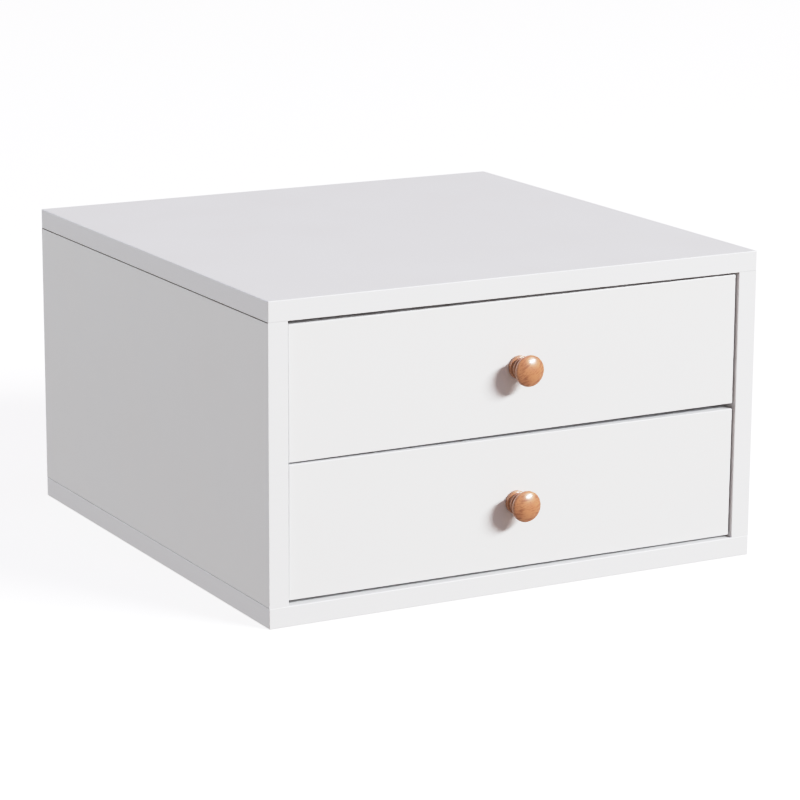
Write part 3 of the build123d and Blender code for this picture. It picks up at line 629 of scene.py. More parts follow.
# ---------------------------------------------------------------- geometry trees
class GrowTree:
    """A geometry node tree that makes one fixing, pointing up Z, and sets a copy at every place."""

    def __init__(self, name: str) -> None:
        """Start a tree.

        Args:
            name: the tree's name.
        """
        self.tree = bpy.data.node_groups.new(name, "GeometryNodeTree")
        self.nodes = self.tree.nodes
        self.links = self.tree.links
        self.keys: dict[str, str] = {}
        self.tree.interface.new_socket("Places", in_out="INPUT", socket_type="NodeSocketGeometry")
        self.tree.interface.new_socket("Pieces", in_out="OUTPUT", socket_type="NodeSocketGeometry")
        self.entry = self.nodes.new("NodeGroupInput")

    def entrance(self, name: str, kind: str) -> Socket:
        """Add a named input.

        Args:
            name: what the input is, as the fixing's field is called.
            kind: its socket type.

        Returns:
            The input, to be used inside the tree.
        """
        shown = name.replace("_", " ").title()
        item = self.tree.interface.new_socket(shown, in_out="INPUT", socket_type="NodeSocket" + kind)
        self.keys[name] = item.identifier
        return self.entry.outputs[shown]

    def sizes(self, *names: str) -> list[Socket]:
        """Add an input for each length, called as its field is."""
        return [self.entrance(name, "Float") for name in names]

    def add(self, kind: str, inputs: dict[object, object], **settings: object) -> bpy.types.Node:
        """Add a node.

        Args:
            kind: the node's full type.
            inputs: a value, a socket or a list of sockets for each input, by name or by place.
            settings: the node's own properties.

        Returns:
            The new node.
        """
        node = self.nodes.new(kind)
        for name, value in settings.items():
            setattr(node, name, value)
        for key, value in inputs.items():
            for item in value if isinstance(value, list) else [value]:
                if isinstance(item, bpy.types.NodeSocket):
                    self.links.new(item, node.inputs[key])
                else:
                    node.inputs[key].default_value = item
        return node

    def sum(self, first: object, second: object, scale: float = 1.0) -> Socket:
        """The first number plus a multiple of the second."""
        inputs = {0: second, 1: scale, 2: first}
        return self.add("ShaderNodeMath", inputs, operation="MULTIPLY_ADD").outputs[0]

    def times(self, first: object, scale: object) -> Socket:
        """One number times another."""
        return self.add("ShaderNodeMath", {0: first, 1: scale}, operation="MULTIPLY").outputs[0]

    def point(self, x: object = 0.0, y: object = 0.0, z: object = 0.0) -> Socket:
        """A point or a size from three numbers."""
        return self.add("ShaderNodeCombineXYZ", {"X": x, "Y": y, "Z": z}).outputs[0]

    def profile(self, radius: object, low: object, height: object, shares: Shares) -> Outline:
        """Corners of an outline, each a share of a radius and of a height above a level."""
        return [(self.times(radius, out), self.sum(low, height, up)) for out, up in shares]

    def moved(self, shape: Socket, to: Socket, turn: tuple[float, float, float] = (0, 0, 0)) -> Socket:
        """Turn a shape and then move it.

        Args:
            shape: the shape.
            to: where its origin goes.
            turn: rotation about each axis, in degrees.

        Returns:
            The moved shape.
        """
        angles = tuple(math.radians(angle) for angle in turn)
        inputs = {"Geometry": shape, "Translation": to, "Rotation": angles}
        return self.add("GeometryNodeTransform", inputs).outputs[0]

    def turned(self, outline: Outline, sides: int = 32) -> Socket:
        """A closed turned solid.

        Args:
            outline: radius and height of each corner, from the bottom up, both ends on the axis.
            sides: the number of sides round it.

        Returns:
            The solid.
        """
        rings = []
        for (low_radius, low), (high_radius, high) in zip(outline, outline[1:]):
            rise = self.sum(high, low, -1.0)
            inputs = {"Vertices": sides, "Radius Bottom": low_radius, "Radius Top": high_radius,
                      "Depth": rise}
            ring = self.add("GeometryNodeMeshCone", inputs, fill_type="NONE").outputs["Mesh"]
            rings.append(self.moved(ring, self.point(z=low)))
        joined = self.add("GeometryNodeJoinGeometry", {0: rings[::-1]}).outputs[0]
        return self.add("GeometryNodeMergeByDistance", {"Geometry": joined, "Distance": WELD}).outputs[0]

    def cross(self, length: object, width: object, height: object, middle: Socket) -> list[Socket]:
        """Two square bars across each other, to cut a cross recess with.

        Args:
            length: of each bar.
            width: of each bar.
            height: along Z.
            middle: where they meet.

        Returns:
            The two bars.
        """
        bar = self.add("GeometryNodeMeshCube", {"Size": self.point(length, width, height)}).outputs["Mesh"]
        return [self.moved(bar, middle, (0, 0, turn)) for turn in (0, 90)]

    def without(self, shape: Socket, cutters: list[Socket]) -> Socket:
        """A solid with the cutters' shapes cut out of it."""
        inputs = {"Mesh 1": shape, "Mesh 2": cutters}
        cut = self.add("GeometryNodeMeshBoolean", inputs, operation="DIFFERENCE", solver="EXACT")
        return cut.outputs["Mesh"]

    def thread(self, radius: Socket, depth: Socket, pitch: Socket, start: Socket, length: Socket) -> Socket:
        """A raised screw thread.

        Args:
            radius: of the core that it winds round.
            depth: how far it stands out.
            pitch: the rise of one turn.
            start: the height where it starts.
            length: its length along the axis.

        Returns:
            The thread, closed at both ends.
        """
        turns = self.add("ShaderNodeMath", {0: length, 1: pitch}, operation="DIVIDE").outputs[0]
        inputs = {"Resolution": 24, "Rotations": turns, "Start Radius": radius, "End Radius": radius,
                  "Height": length}
        spiral = self.add("GeometryNodeCurveSpiral", inputs).outputs[0]
        ridge = self.add("GeometryNodeCurvePrimitiveCircle", {"Resolution": 4, "Radius": depth}).outputs[0]
        inputs = {"Curve": spiral, "Profile Curve": ridge, "Fill Caps": True}
        return self.moved(self.add("GeometryNodeCurveToMesh", inputs).outputs[0], self.point(z=start))

    def finish(self, parts: list[Socket], spin: bool) -> "GrowTree":
        """Set the fixing at every place, make the copies real and give them their finish.

        Args:
            parts: the shapes that make up one fixing.
            spin: whether each copy is turned by chance about its axis.

        Returns:
            The tree itself.
        """
        finish = self.entrance("finish", "Material")
        one = self.add("GeometryNodeJoinGeometry", {0: parts}).outputs[0]
        inputs = {"Name": "turn"}
        turn = self.add("GeometryNodeInputNamedAttribute", inputs, data_type="QUATERNION").outputs[0]
        if spin:
            chance = self.add("FunctionNodeRandomValue", {"Seed": SPIN_SEED}, data_type="FLOAT")
            angle = self.times(chance.outputs["Value"], 2 * math.pi)
            inputs = {"Axis": (0, 0, 1), "Angle": angle}
            about = self.add("FunctionNodeAxisAngleToRotation", inputs).outputs[0]
            inputs = {"Rotation": turn, "Rotate By": about}
            turn = self.add("FunctionNodeRotateRotation", inputs, rotation_space="LOCAL").outputs[0]
        inputs = {"Points": self.entry.outputs["Places"], "Instance": one, "Rotation": turn}
        copies = self.add("GeometryNodeInstanceOnPoints", inputs).outputs[0]
        real = self.add("GeometryNodeRealizeInstances", {"Geometry": copies}).outputs[0]
        dressed = self.add("GeometryNodeSetMaterial", {"Geometry": real, "Material": finish}).outputs[0]
        self.links.new(dressed, self.nodes.new("NodeGroupOutput").inputs[0])
        return self

    def grow(self, name: str, places: list[Place], values: dict[str, object]) -> bpy.types.Mesh:
        """Make the fixings as one plain mesh.

        Args:
            name: the mesh's name.
            places: where they go.
            values: for each named input a length in millimetres, a whole number or a material.

        Returns:
            The mesh.
        """
        points = bpy.data.meshes.new(name + "_places")
        points.from_pydata([place.at for place in places], [], [])
        turns = points.attributes.new("turn", "QUATERNION", "POINT")
        for entry, place in zip(turns.data, places):
            entry.value = place.turn()
        holder = bpy.data.objects.new(name + "_places", points)
        bpy.context.scene.collection.objects.link(holder)
        modifier = holder.modifiers.new("grow", "NODES")
        modifier.node_group = self.tree
        for field, key in self.keys.items():
            value = values[field]
            modifier[key] = value * MM if isinstance(value, float) else value
        graph = bpy.context.evaluated_depsgraph_get()
        mesh = bpy.data.meshes.new_from_object(holder.evaluated_get(graph), depsgraph=graph)
        holder.modifiers.remove(modifier)
        bpy.data.objects.remove(holder)
        mesh.name = name
        mesh.shade_smooth()
        mesh.set_sharp_from_angle(angle=FIXING_CORNER)
        return mesh


# ---------------------------------------------------------------- fixings
def length_of(box: Box, way: Vector) -> float:
    """How long a box is along an axis, in millimetres."""
    return abs((box[1] - box[0]).dot(way)) / MM


def away_from_middle(way: Vector, box: Box) -> Vector:
    """Turn an upright way upside down for a fixing in the cabinet's lower half.

    Args:
        way: the way it faces in the upper half.
        box: the fixing's lowest and highest corners.

    Returns:
        The way it faces.
    """
    height = box[0].z + box[1].z - sum(corner.z for corner in CAD_BOX)
    return way * math.copysign(1.0, height) if way.z else way


@dataclass
class Fixing:
    """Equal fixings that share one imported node. Sizes in millimetres."""

    made: ClassVar[str]
    slot: ClassVar[Slot] = Slot.ZINC_STEEL
    node: str
    body: str

    def place(self, box: Box) -> Place:
        """Where the fixing with this box sits; each kind has its own way."""
        raise NotImplementedError

    def measured(self, box: Box) -> dict[str, float]:
        """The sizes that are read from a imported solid's box, by the name of their input."""
        return {}

    def build(self, tree: GrowTree, finishes: Finishes) -> None:
        """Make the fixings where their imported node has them, and let them stand for it.

        Args:
            tree: the tree that makes one of them.
            finishes: the cabinet's finishes.
        """
        boxes = solids_of(self.node)
        places = [self.place(box) for box in boxes]
        values = {**vars(self), **self.measured(boxes[-1]), "finish": finishes.by_slot[self.slot]}
        name = f"{self.node}_{self.made}"
        new_piece(name, tree.grow(name, places, values), self.body, self.slot, self.node)


@dataclass
class Screws(Fixing):
    """Pan-head screws with a cross recess and a thread; the head's seat is at 0."""

    made: ClassVar[str] = "cut"
    crown: ClassVar[Shares] = ((1.0, 0.0), (1.0, 0.4), (0.93, 0.66), (0.78, 0.86), (0.55, 0.96), (0.3, 1.0))
    out: Vector
    mirrored: bool
    length: float
    head_radius: float
    head_thick: float
    core_radius: float
    thread_depth: float = 0.35
    pitch: float = 1.6
    plain_shank: float = 3.0
    point: float = 3.0

    @classmethod
    def tree(cls) -> GrowTree:
        """Build the tree that makes them."""
        tree = GrowTree("pan_head_screw")
        length, head, thick, core = tree.sizes("length", "head_radius", "head_thick", "core_radius")
        depth, pitch, plain, point = tree.sizes("thread_depth", "pitch", "plain_shank", "point")
        tip = tree.times(length, -1.0)
        shoulder = tree.sum(tip, point)
        outline = [(0.0, tip), (tree.times(core, 0.25), tree.sum(tip, point, 0.05))]
        outline += [(core, shoulder), (core, 0.0)]
        outline += tree.profile(head, 0.0, thick, cls.crown) + [(0.0, thick)]
        recess = (tree.times(head, 1.15), tree.times(head, 0.26), tree.times(thick, 1.1))
        solid = tree.without(tree.turned(outline), tree.cross(*recess, tree.point(z=thick)))
        wound = tree.sum(tree.sum(length, point, -1.0), plain, -1.0)
        return tree.finish([solid, tree.thread(core, depth, pitch, shoulder, wound)], True)

    def place(self, box: Box) -> Place:
        """Where one screw sits, by its head's seat."""
        out = self.out * (math.copysign(1.0, box[0].x) if self.mirrored else 1.0)
        return Place(end_of(box, out) - out * self.head_thick * MM, out, Vector((0, 0, 1)))


@dataclass
class CamBolts(Fixing):
    """Bolts screwed into a panel's face, with a collar and a round head for the cam."""

    made: ClassVar[str] = "turned"
    head: ClassVar[Shares] = ((0.6, 0.06), (0.93, 0.28), (1.0, 0.55), (0.93, 0.82))
    collar: ClassVar[Shares] = ((0.93, 0.0), (1.0, 0.15), (1.0, 0.85), (0.93, 1.0))
    out: Vector
    thread_length: float = 11.0
    core_radius: float = 2.0
    thread_depth: float = 0.5
    pitch: float = 2.2
    collar_radius: float = 3.5
    collar_length: float = 2.5
    shank_radius: float = 2.4
    neck_radius: float = 1.8
    neck_length: float = 4.0
    head_radius: float = 2.8
    head_length: float = 3.2

    @classmethod
    def tree(cls) -> GrowTree:
        """Build the tree that makes them, with the panel's face at 0 and the thread upwards."""
        tree = GrowTree("cam_bolt")
        thread, core, depth, pitch = tree.sizes("thread_length", "core_radius", "thread_depth", "pitch")
        collar, collar_long, shank = tree.sizes("collar_radius", "collar_length", "shank_radius")
        neck, neck_long = tree.sizes("neck_radius", "neck_length")
        head, head_long = tree.sizes("head_radius", "head_length")
        bottom = tree.times(tree.entrance("reach", "Float"), -1.0)
        head_top = tree.sum(bottom, head_long)
        neck_top = tree.sum(head_top, neck_long)
        collar_low = tree.times(collar_long, -1.0)
        outline = [(0.0, bottom)] + tree.profile(head, bottom, head_long, cls.head)
        outline += [(neck, head_top), (neck, neck_top), (shank, neck_top), (shank, collar_low)]
        outline += tree.profile(collar, collar_low, collar_long, cls.collar) + [(core, 0.0)]
        outline += [(core, tree.times(thread, 0.8)), (tree.times(core, 0.35), thread), (0.0, thread)]
        wound = tree.thread(core, depth, pitch, tree.times(thread, 0.08), tree.times(thread, 0.78))
        return tree.finish([tree.turned(outline), wound], True)

    def place(self, box: Box) -> Place:
        """Where one bolt sits, by its panel's face."""
        out = away_from_middle(self.out, box)
        return Place(end_of(box, out) - out * self.thread_length * MM, out, Vector((1, 0, 0)))

    def measured(self, box: Box) -> dict[str, float]:
        """How far a bolt reaches out of its panel."""
        return {"reach": length_of(box, self.out) - self.thread_length}


@dataclass
class CamLocks(Fixing):
    """Die-cast cams: a drum with a rim, a cross recess and a mouth for the bolt."""

    made: ClassVar[str] = "cast"
    slot: ClassVar[Slot] = Slot.ZINC_ALLOY
    rim_steps: ClassVar[Shares] = ((0.0, -3.2), (-0.8, -2.6), (-0.8, -1.6), (0.0, -1.0), (0.0, -0.35),
                                   (-0.35, 0.0), (-1.4, 0.0), (-1.8, -0.45))
    towards: Vector
    radius: float
    mouth_radius: float = 3.2
    mouth_past: float = 4.0
    rim: float = 0.7
    slot_width: float = 1.6
    slot_depth: float = 1.9

    @classmethod
    def tree(cls) -> GrowTree:
        """Build the tree that makes them, with the face at 0 and the mouth towards X."""
        tree = GrowTree("cam_lock")
        radius, thick, rim = tree.sizes("radius", "thickness", "rim")
        slot, slot_depth = tree.sizes("slot_width", "slot_depth")
        mouth, past, mouth_depth = tree.sizes("mouth_radius", "mouth_past", "mouth_depth")
        low = tree.times(thick, -1.0)
        outline = [(0.0, low), (tree.sum(radius, rim, -0.6), low), (radius, tree.sum(low, rim, 0.6))]
        outline += [(tree.sum(radius, rim, out), tree.times(rim, up)) for out, up in cls.rim_steps]
        outline += [(0.0, outline[-1][1])]
        cutters = tree.cross(tree.times(radius, 1.15), slot, tree.times(slot_depth, 2.0), tree.point())
        size = tree.point(tree.times(rim, 3.0), tree.times(rim, 0.9), rim)
        arrow = tree.add("GeometryNodeMeshCube", {"Size": size}).outputs["Mesh"]
        inputs = {"Vertices": 32, "Radius": mouth, "Depth": tree.sum(radius, past)}
        bore = tree.add("GeometryNodeMeshCylinder", inputs).outputs["Mesh"]
        half_way = tree.times(tree.sum(radius, past, -1.0), 0.5)
        bore_at = tree.point(tree.sum(half_way, rim, 0.2), 0.0, tree.times(mouth_depth, -1.0))
        cutters += [tree.moved(bore, bore_at, (0, 90, 0))]
        cutters += [tree.moved(arrow, tree.point(tree.sum(radius, rim, -4.2)))]
        return tree.finish([tree.without(tree.turned(outline, 48), cutters)], False)

    def place(self, box: Box) -> Place:
        """Where one cam sits, by its outer face, with its mouth towards its bolt."""
        out = Vector((-math.copysign(1.0, box[0].x), 0, 0))
        return Place(end_of(box, out), out, away_from_middle(self.towards, box))

    def measured(self, box: Box) -> dict[str, float]:
        """The drum's length, and how deep the middle of its mouth lies."""
        thick = length_of(box, Vector((1, 0, 0)))
        return {"thickness": thick, "mouth_depth": thick - self.mouth_radius - self.rim}


@dataclass
class Dowels(Fixing):
    """Fluted beech dowels with tapered ends."""

    made: ClassVar[str] = "fluted"
    slot: ClassVar[Slot] = Slot.DOWEL
    out: Vector
    radius: float = 4.0
    taper: float = 1.0
    flutes: int = 20
    flute_depth: float = 0.28

    @classmethod
    def tree(cls) -> GrowTree:
        """Build the tree that makes them, centred on 0."""
        tree = GrowTree("fluted_dowel")
        radius, length, taper, depth = tree.sizes("radius", "length", "taper", "flute_depth")
        flutes = tree.entrance("flutes", "Int")
        half = tree.times(length, 0.5)
        low = tree.times(half, -1.0)
        end = tree.times(radius, 0.78)
        shape = tree.turned([(0.0, low), (end, low), (radius, tree.sum(low, taper)),
                             (radius, tree.sum(half, taper, -1.0)), (end, half), (0.0, half)], 120)
        place = tree.add("GeometryNodeInputPosition", {}).outputs[0]
        x, y, _ = tree.add("ShaderNodeSeparateXYZ", {0: place}).outputs
        angle = tree.add("ShaderNodeMath", {0: y, 1: x}, operation="ARCTAN2").outputs[0]
        wave = tree.add("ShaderNodeMath", {0: tree.times(angle, flutes)}, operation="COSINE").outputs[0]
        cut = tree.times(tree.sum(-1.0, wave), tree.times(depth, 0.5))
        way = tree.add("ShaderNodeVectorMath", {0: tree.point(x, y)}, operation="NORMALIZE").outputs[0]
        push = tree.add("ShaderNodeVectorMath", {0: way, "Scale": cut}, operation="SCALE").outputs[0]
        fluted = tree.add("GeometryNodeSetPosition", {"Geometry": shape, "Offset": push}).outputs[0]
        return tree.finish([fluted], True)

    def place(self, box: Box) -> Place:
        """Where one dowel sits, by its middle."""
        return Place((box[0] + box[1]) / 2, self.out, Vector((1, 0, 0)))

    def measured(self, box: Box) -> dict[str, float]:
        """A dowel's length."""
        return {"length": length_of(box, self.out)}


@dataclass
class Axles(Fixing):
    """Roller axles riveted over at one end, with a collar at the other."""

    made: ClassVar[str] = "riveted"
    spacer: ClassVar[Shares] = ((0.95, 0.0), (1.0, 0.1), (1.0, 0.9), (0.95, 1.0))
    rivet: ClassVar[Shares] = ((1.0, -1.0), (1.0, -0.55), (0.86, -0.16), (0.55, 0.0), (0.3, -0.28),
                               (0.0, -0.36))
    facing: float
    pin_radius: float = 2.0
    rivet_radius: float = 2.8
    rivet_thick: float = 0.8
    collar: float = 0.8

    @classmethod
    def tree(cls) -> GrowTree:
        """Build the tree that makes them, with the rivet's outer face at 0 and the collar at the far end."""
        tree = GrowTree("riveted_axle")
        length, pin, rivet, thick, collar = tree.sizes(
            "length", "pin_radius", "rivet_radius", "rivet_thick", "collar")
        low = tree.times(length, -1.0)
        outline = [(0.0, low)] + tree.profile(rivet, low, collar, cls.spacer)
        outline += [(pin, tree.sum(low, collar)), (pin, tree.times(thick, -1.0))]
        outline += tree.profile(rivet, 0.0, thick, cls.rivet)
        return tree.finish([tree.turned(outline)], False)

    def place(self, box: Box) -> Place:
        """Where one axle sits, by its rivet's outer face."""
        out = Vector((self.facing * math.copysign(1.0, box[0].x), 0, 0))
        return Place(end_of(box, out), out, Vector((0, 0, 1)))

    def measured(self, box: Box) -> dict[str, float]:
        """An axle's length."""
        return {"length": length_of(box, Vector((1, 0, 0)))}


# ---------------------------------------------------------------- rollers
@dataclass
class Roller:
    """A nylon runner wheel: bored hub, thin web and a tyre with rounded shoulders. Sizes in millimetres."""

    node: str
    bore_radius: float = 2.06
    hub_radius: float = 4.3
    tyre_thick: float = 2.2
    web_in: float = 1.3
    bevel: float = 0.3
    round_over: float = 0.8

    def build(self, finishes: Finishes) -> None:
        """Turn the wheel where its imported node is.

        Args:
            finishes: the cabinet's finishes.
        """
        low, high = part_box(self.node)
        radius = (high.z - low.z) / 2 / MM
        width = (high.x - low.x) / MM
        inner = radius - self.tyre_thick
        bend = self.round_over * (1 - math.sqrt(0.5))
        bevel = self.bevel
        outline = [(self.bore_radius, bevel), (self.bore_radius + bevel, 0.0), (self.hub_radius - bevel, 0.0)]
        outline += [(self.hub_radius, bevel), (self.hub_radius + bevel / 2, self.web_in - 0.2)]
        outline += [(self.hub_radius + 0.4, self.web_in), (inner - 0.4, self.web_in)]
        outline += [(inner - 0.1, self.web_in - bevel), (inner, bevel), (inner + bevel, 0.0)]
        outline += [(radius - self.round_over, 0.0)]
        outline += arc_points(outline[-1], (radius - bend, bend), (radius, self.round_over), 5)
        mirrored = [(out, width - along) for out, along in reversed(outline)]
        outline = [(out * MM, along * MM) for out, along in outline + mirrored]
        base = Vector((low.x, (low.y + high.y) / 2, (low.z + high.z) / 2))
        mesh = turned_mesh(self.node + "_moulded", outline, base, Vector((1, 0, 0)), segments=72, closed=True)
        mesh.materials.append(finishes.by_slot[Slot.NYLON])
        new_piece(self.node + "_moulded", mesh, self.node, Slot.NYLON, self.node)


class Hardware:
    """All the fixings and rollers, with one geometry tree for each kind."""

    def __init__(self, finishes: Finishes) -> None:
        """Build the trees.

        Args:
            finishes: the cabinet's finishes.
        """
        self.finishes = finishes
        self.trees = {kind: kind.tree() for kind in (Screws, CamBolts, CamLocks, Dowels, Axles)}

    def add(self, *fixings: Fixing) -> None:
        """Build fixings, each with its own kind's tree."""
        for fixing in fixings:
            fixing.build(self.trees[type(fixing)], self.finishes)

    def cabinet(self) -> None:
        """Make the fixings that stay with the cabinet."""
        inwards = Vector((-1, 0, 0))
        upwards = Vector((0, 0, 1))
        self.add(
            Screws("cabinet_runner_screws", "cabinet", inwards, True, length=12.0, head_radius=3.2,
                   head_thick=1.1, core_radius=1.25),
            CamBolts("carcass_cam_bolts", "cabinet", upwards),
            CamLocks("carcass_cam_locks", "cabinet", upwards, radius=7.4),
            Dowels("carcass_dowels", "cabinet", upwards),
            Axles("front_roller_axles", "cabinet", -1.0),
        )

    def drawer(self, level: str) -> None:
        """Make the fixings and rollers of one drawer.

        Args:
            level: upper or lower.
        """
        body = f"{level}_drawer"
        outwards = Vector((1, 0, 0))
        forwards = Vector((0, -1, 0))
        self.add(
            Screws(f"{level}_drawer_runner_screws", body, -outwards, True, length=10.0, head_radius=2.9,
                   head_thick=1.1, core_radius=1.25),
            Screws(f"{level}_back_screws", body, outwards, True, length=32.0, head_radius=4.0,
                   head_thick=2.6, core_radius=1.8, pitch=2.0),
            Screws(f"{level}_knob_screw", body, -forwards, False, length=26.0, head_radius=4.2,
                   head_thick=2.4, core_radius=1.8, thread_depth=0.2, pitch=0.7, plain_shank=12.0,
                   point=0.8),
            CamBolts(f"{level}_front_cam_bolts", body, forwards),
            CamLocks(f"{level}_front_cam_locks", body, forwards, radius=6.0),
            Dowels(f"{level}_front_dowels", body, forwards),
            Axles(f"{level}_rear_roller_axles", body, 1.0, collar=2.8),
        )
        for side in SIDES:
            for end in ("front", "rear"):
                Roller(f"{level}_{side}_{end}_roller").build(self.finishes)


# ---------------------------------------------------------------- knobs
@dataclass
class Knob:
    """A turned mushroom knob: base ring, cove, bead, neck, and a domed cap. Sizes in millimetres."""

    level: str
    grain_turn: float
    ring_radius: float = 8.6
    ring_thick: float = 3.5
    cove_radius: float = 7.0
    bead_radius: float = 8.2
    bead_out: float = 6.7
    bead_half: float = 0.8
    neck_radius: float = 7.0
    cap_radius: float = 11.55
    rim_out: float = 15.2
    rim_round: float = 2.24
    shoulder_in: float = 1.01
    shoulder_out: float = 1.85
    # Half-widths of the pale painted highlight along the cap's rim and along the bead's crest.
    rim_highlight_width: float = 0.7
    bead_highlight_width: float = 0.5

    def outline(self, length: float) -> list[tuple[float, float]]:
        """The knob's side view.

        Args:
            length: from the base to the middle of the dome, in millimetres.

        Returns:
            Radius and distance from the base of each point, in metres.
        """
        bead_low = (self.bead_radius - 0.5, self.bead_out - self.bead_half)
        bead_high = (self.bead_radius - 0.5, self.bead_out + self.bead_half)
        ring_top = (self.ring_radius - 0.4, self.ring_thick)
        neck_end = (self.neck_radius + 0.7, self.bead_out + 3.5)
        rim_low = (self.cap_radius - self.rim_round + math.sqrt(self.rim_round ** 2 - 1), self.rim_out - 1.0)
        rim_high = (self.cap_radius - self.shoulder_in, self.rim_out + self.shoulder_out)
        rise = length - rim_high[1]
        dome = (rim_high[0] ** 2 + rise ** 2) / (2 * rise)
        half = rim_high[0] / 2
        dome_half = (half, length - dome + math.sqrt(dome ** 2 - half ** 2))
        points = [(0.0, 0.0), (self.ring_radius - 0.3, 0.0), (self.ring_radius, 0.4)]
        points += [(self.ring_radius, self.ring_thick - 0.4)]
        points += arc_points(points[-1], (self.ring_radius - 0.12, self.ring_thick - 0.12), ring_top, 4)
        points += arc_points(ring_top, (self.cove_radius, self.ring_thick + 1.2), bead_low, 10)
        points += arc_points(bead_low, (self.bead_radius, self.bead_out), bead_high, 8)
        points += arc_points(bead_high, (self.neck_radius, self.bead_out + 2.0), neck_end, 10)
        points += arc_points(neck_end, (self.cap_radius - 2.45, self.rim_out - 2.9), rim_low, 10)
        points += arc_points(rim_low, (self.cap_radius, self.rim_out), rim_high, 16)
        points += arc_points(rim_high, dome_half, (0.0, length), 24)[:-1] + [(0.0, length)]
        return [(radius * MM, along * MM) for radius, along in points]

    def mark(self, mesh: bpy.types.Mesh, base: Vector) -> None:
        """Store on each point how deep in a groove it lies, which sets the painted shade there, and how near
        it is to the cap's rim or the bead's crest, which sets the pale painted highlight there.

        Args:
            mesh: the turned knob.
            base: the middle of its back.
        """
        marks = {name: mesh.attributes.new(name, "FLOAT", "POINT").data for name in ("groove", "edge")}
        flush = self.bead_radius + 0.1
        for point in mesh.vertices:
            arm = (point.co - base) / MM
            radius, along = math.hypot(arm.x, arm.z), -arm.y
            # How deep in a groove a point lies gives its share of painted shade.
            groove_shade = (flush - radius) / (flush - self.neck_radius) if along < self.rim_out - 1.5 else 0.0
            # Nearness to the cap's rim or the bead's crest gives a point's share of pale painted highlight.
            edge_highlight = 0.0
            if radius > self.cap_radius - 0.6:
                edge_highlight = 1 - abs(along - self.rim_out + 0.1) / self.rim_highlight_width
            if radius > self.bead_radius - 0.2:
                edge_highlight = max(edge_highlight, 1 - abs(along - self.bead_out) / self.bead_highlight_width)
            for name, value in (("groove", groove_shade), ("edge", edge_highlight)):
                marks[name][point.index].value = min(max(value, 0.0), 1.0)

    def build(self) -> bpy.types.Object:
        """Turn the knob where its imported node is, and give it its wood."""
        node = f"{self.level}_knob"
        low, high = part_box(node)
        middle = (low + high) / 2
        base = Vector((middle.x, high.y, middle.z))
        outline = self.outline((high.y - low.y) / MM)
        mesh = turned_mesh(f"{node}_turned", outline, base, Vector((0, -1, 0)), segments=128)
        self.mark(mesh, base)
        wood = Beech(f"lacquered_beech_{self.level}", base, (0, self.grain_turn, 0), turned=True)
        mesh.materials.append(wood.material())
        return new_piece(f"{node}_turned", mesh, f"{self.level}_drawer", Slot.KNOB, node)


# ---------------------------------------------------------------- studio
@dataclass(frozen=True)
class Softbox:
    """An oval soft light. Lengths in metres."""

    name: str
    stands: Vector
    width: float
    height: float
    reaches: float
    colour: Colour

    def build(self) -> None:
        """Stand the light and face it at the cabinet; its power gives the same light at any distance."""
        lamp = bpy.data.lights.new(self.name, "AREA")
        lamp.shape = "ELLIPSE"
        lamp.size = self.width
        lamp.size_y = self.height
        lamp.energy = self.reaches * math.pi * self.stands.length_squared
        lamp.color = self.colour
        obj = bpy.data.objects.new(self.name, lamp)
        obj.location = self.stands
        obj.rotation_euler = (-self.stands).to_track_quat("-Z", "Y").to_euler()
        bpy.context.scene.collection.objects.link(obj)


@dataclass(frozen=True)
class ToneCurve:
    """A film-like curve that keeps the shadows and rolls the highlights off gently."""

    white: float = 2.0
    points: tuple[tuple[float, float], ...] = (
        (0.0, 0.0),
        (0.3, 0.29),
        (0.5, 0.49),
        (0.8, 0.71),
        (1.2, 0.845),
        (1.6, 0.94),
        (2.0, 1.0),
    )

    def apply(self, view: bpy.types.ColorManagedViewSettings) -> None:
        """Put the curve on the scene's view settings.

        Args:
            view: the view settings.
        """
        view.view_transform = "Standard"
        view.use_curve_mapping = True
        mapping = view.curve_mapping
        mapping.white_level = (self.white,) * 3
        combined = mapping.curves[3]
        for light, shown in self.points[1:-1]:
            combined.points.new(light / self.white, shown)
        mapping.update()


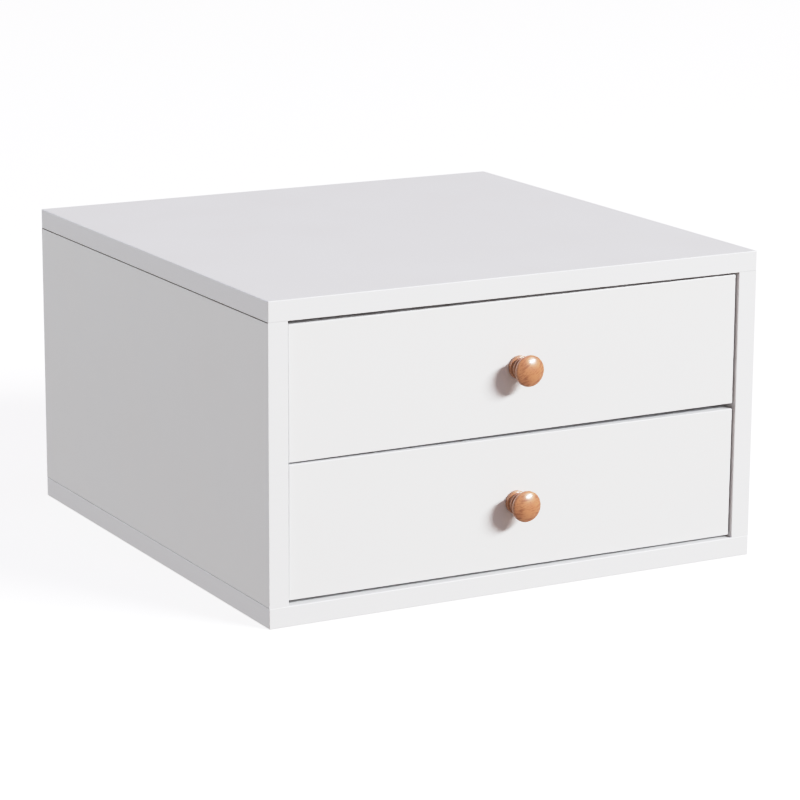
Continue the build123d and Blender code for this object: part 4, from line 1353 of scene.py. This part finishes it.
@dataclass
class Studio:
    """A pale floor, soft lights and the camera. Lengths in metres, angles in degrees."""

    camera_place: Vector = Vector((-1.1244, -2.0738, 0.6669))
    azimuth: float = 28.71
    elevation: float = 13.54
    roll: float = 0.29
    lens: float = 142.2
    ambient: float = 0.41
    ambient_colour: Colour = (1.0, 0.82, 0.77)
    floor_size: float = 60.0
    floor_glow: float = 1.1
    lights: tuple[Softbox, ...] = (
        Softbox("key_light", Vector((5.11, -7.19, 4.71)), 4.8, 1.2, 4.92, (1.0, 1.052, 1.062)),
        Softbox("fill_light", Vector((-8.3, 3.9, 1.7)), 7.0, 3.2, 0.81, (1.0, 1.29, 1.41)),
        Softbox("top_light", Vector((0.5, -1.0, 9.5)), 6.0, 6.0, 0.20, (0.80, 1.05, 2.6)),
        Softbox("back_light", Vector((-2.6, 9.0, 1.0)), 5.0, 3.0, 0.42, (1.0, 1.15, 1.22)),
    )

    def floor(self) -> None:
        """Lay the pale floor, which glows a little so that it stays near white."""
        tree = ShaderTree("studio_floor")
        cloud = tree.noise(tree.stretch(tree.place(), (400.0,) * 3))
        tree.surface(
            Base_Color=tree.blend(cloud, (0.86, 0.86, 0.86), (0.88, 0.88, 0.88)),
            Roughness=0.8,
            Emission_Color=(1.0, 1.0, 1.0),
            Emission_Strength=self.floor_glow,
        )
        bpy.ops.mesh.primitive_plane_add(size=self.floor_size)
        ground = bpy.context.object
        ground.name = "floor"
        ground.data.materials.append(tree.material)
        ground.visible_diffuse = False
        ground.visible_glossy = False

    def camera(self) -> None:
        """Stand the camera at the front left, looking down at the cabinet."""
        azimuth = math.radians(self.azimuth)
        elevation = math.radians(self.elevation)
        back = Vector((
            -math.sin(azimuth) * math.cos(elevation),
            -math.cos(azimuth) * math.cos(elevation),
            math.sin(elevation),
        ))
        right = (-back).cross(Vector((0, 0, 1))).normalized()
        up = right.cross(-back)
        turn = Matrix((right, up, back)).transposed() @ Matrix.Rotation(math.radians(self.roll), 3, "Z")
        lens = bpy.data.cameras.new("camera")
        lens.lens = self.lens
        lens.clip_end = 100.0
        obj = bpy.data.objects.new("camera", lens)
        obj.matrix_world = Matrix.Translation(self.camera_place) @ turn.to_4x4()
        bpy.context.scene.collection.objects.link(obj)
        bpy.context.scene.camera = obj

    def build(self) -> None:
        """Set up the whole studio."""
        scene = bpy.context.scene
        ToneCurve().apply(scene.view_settings)
        world = bpy.data.worlds.new("studio")
        world.use_nodes = True
        background = world.node_tree.nodes["Background"]
        background.inputs["Color"].default_value = (*self.ambient_colour, 1.0)
        background.inputs["Strength"].default_value = self.ambient
        scene.world = world
        for light in self.lights:
            light.build()
        self.floor()
        self.camera()


def main() -> None:
    """Build and dress every sub-assembly, then the studio."""
    logging.basicConfig(level=logging.INFO, format="%(message)s")
    finishes = Finishes()
    slots = {row["node"]: Slot(row["material_slot"]) for row in frame["record"]["subparts"]}
    for name, obj in frame["nodes"].items():
        if slots[name] in finishes.by_slot:
            finishes.dress(obj, slots[name])
    for name in ("left_side_panel", "right_side_panel"):
        frame["nodes"][name].data.materials[0] = finishes.side_board
    hardware = Hardware(finishes)
    hardware.cabinet()
    for level in LEVELS:
        hardware.drawer(level)
    Knob("upper", 33.0).build()
    Knob("lower", 6.0).build()
    Studio().build()


if __name__ == "__main__":
    main()
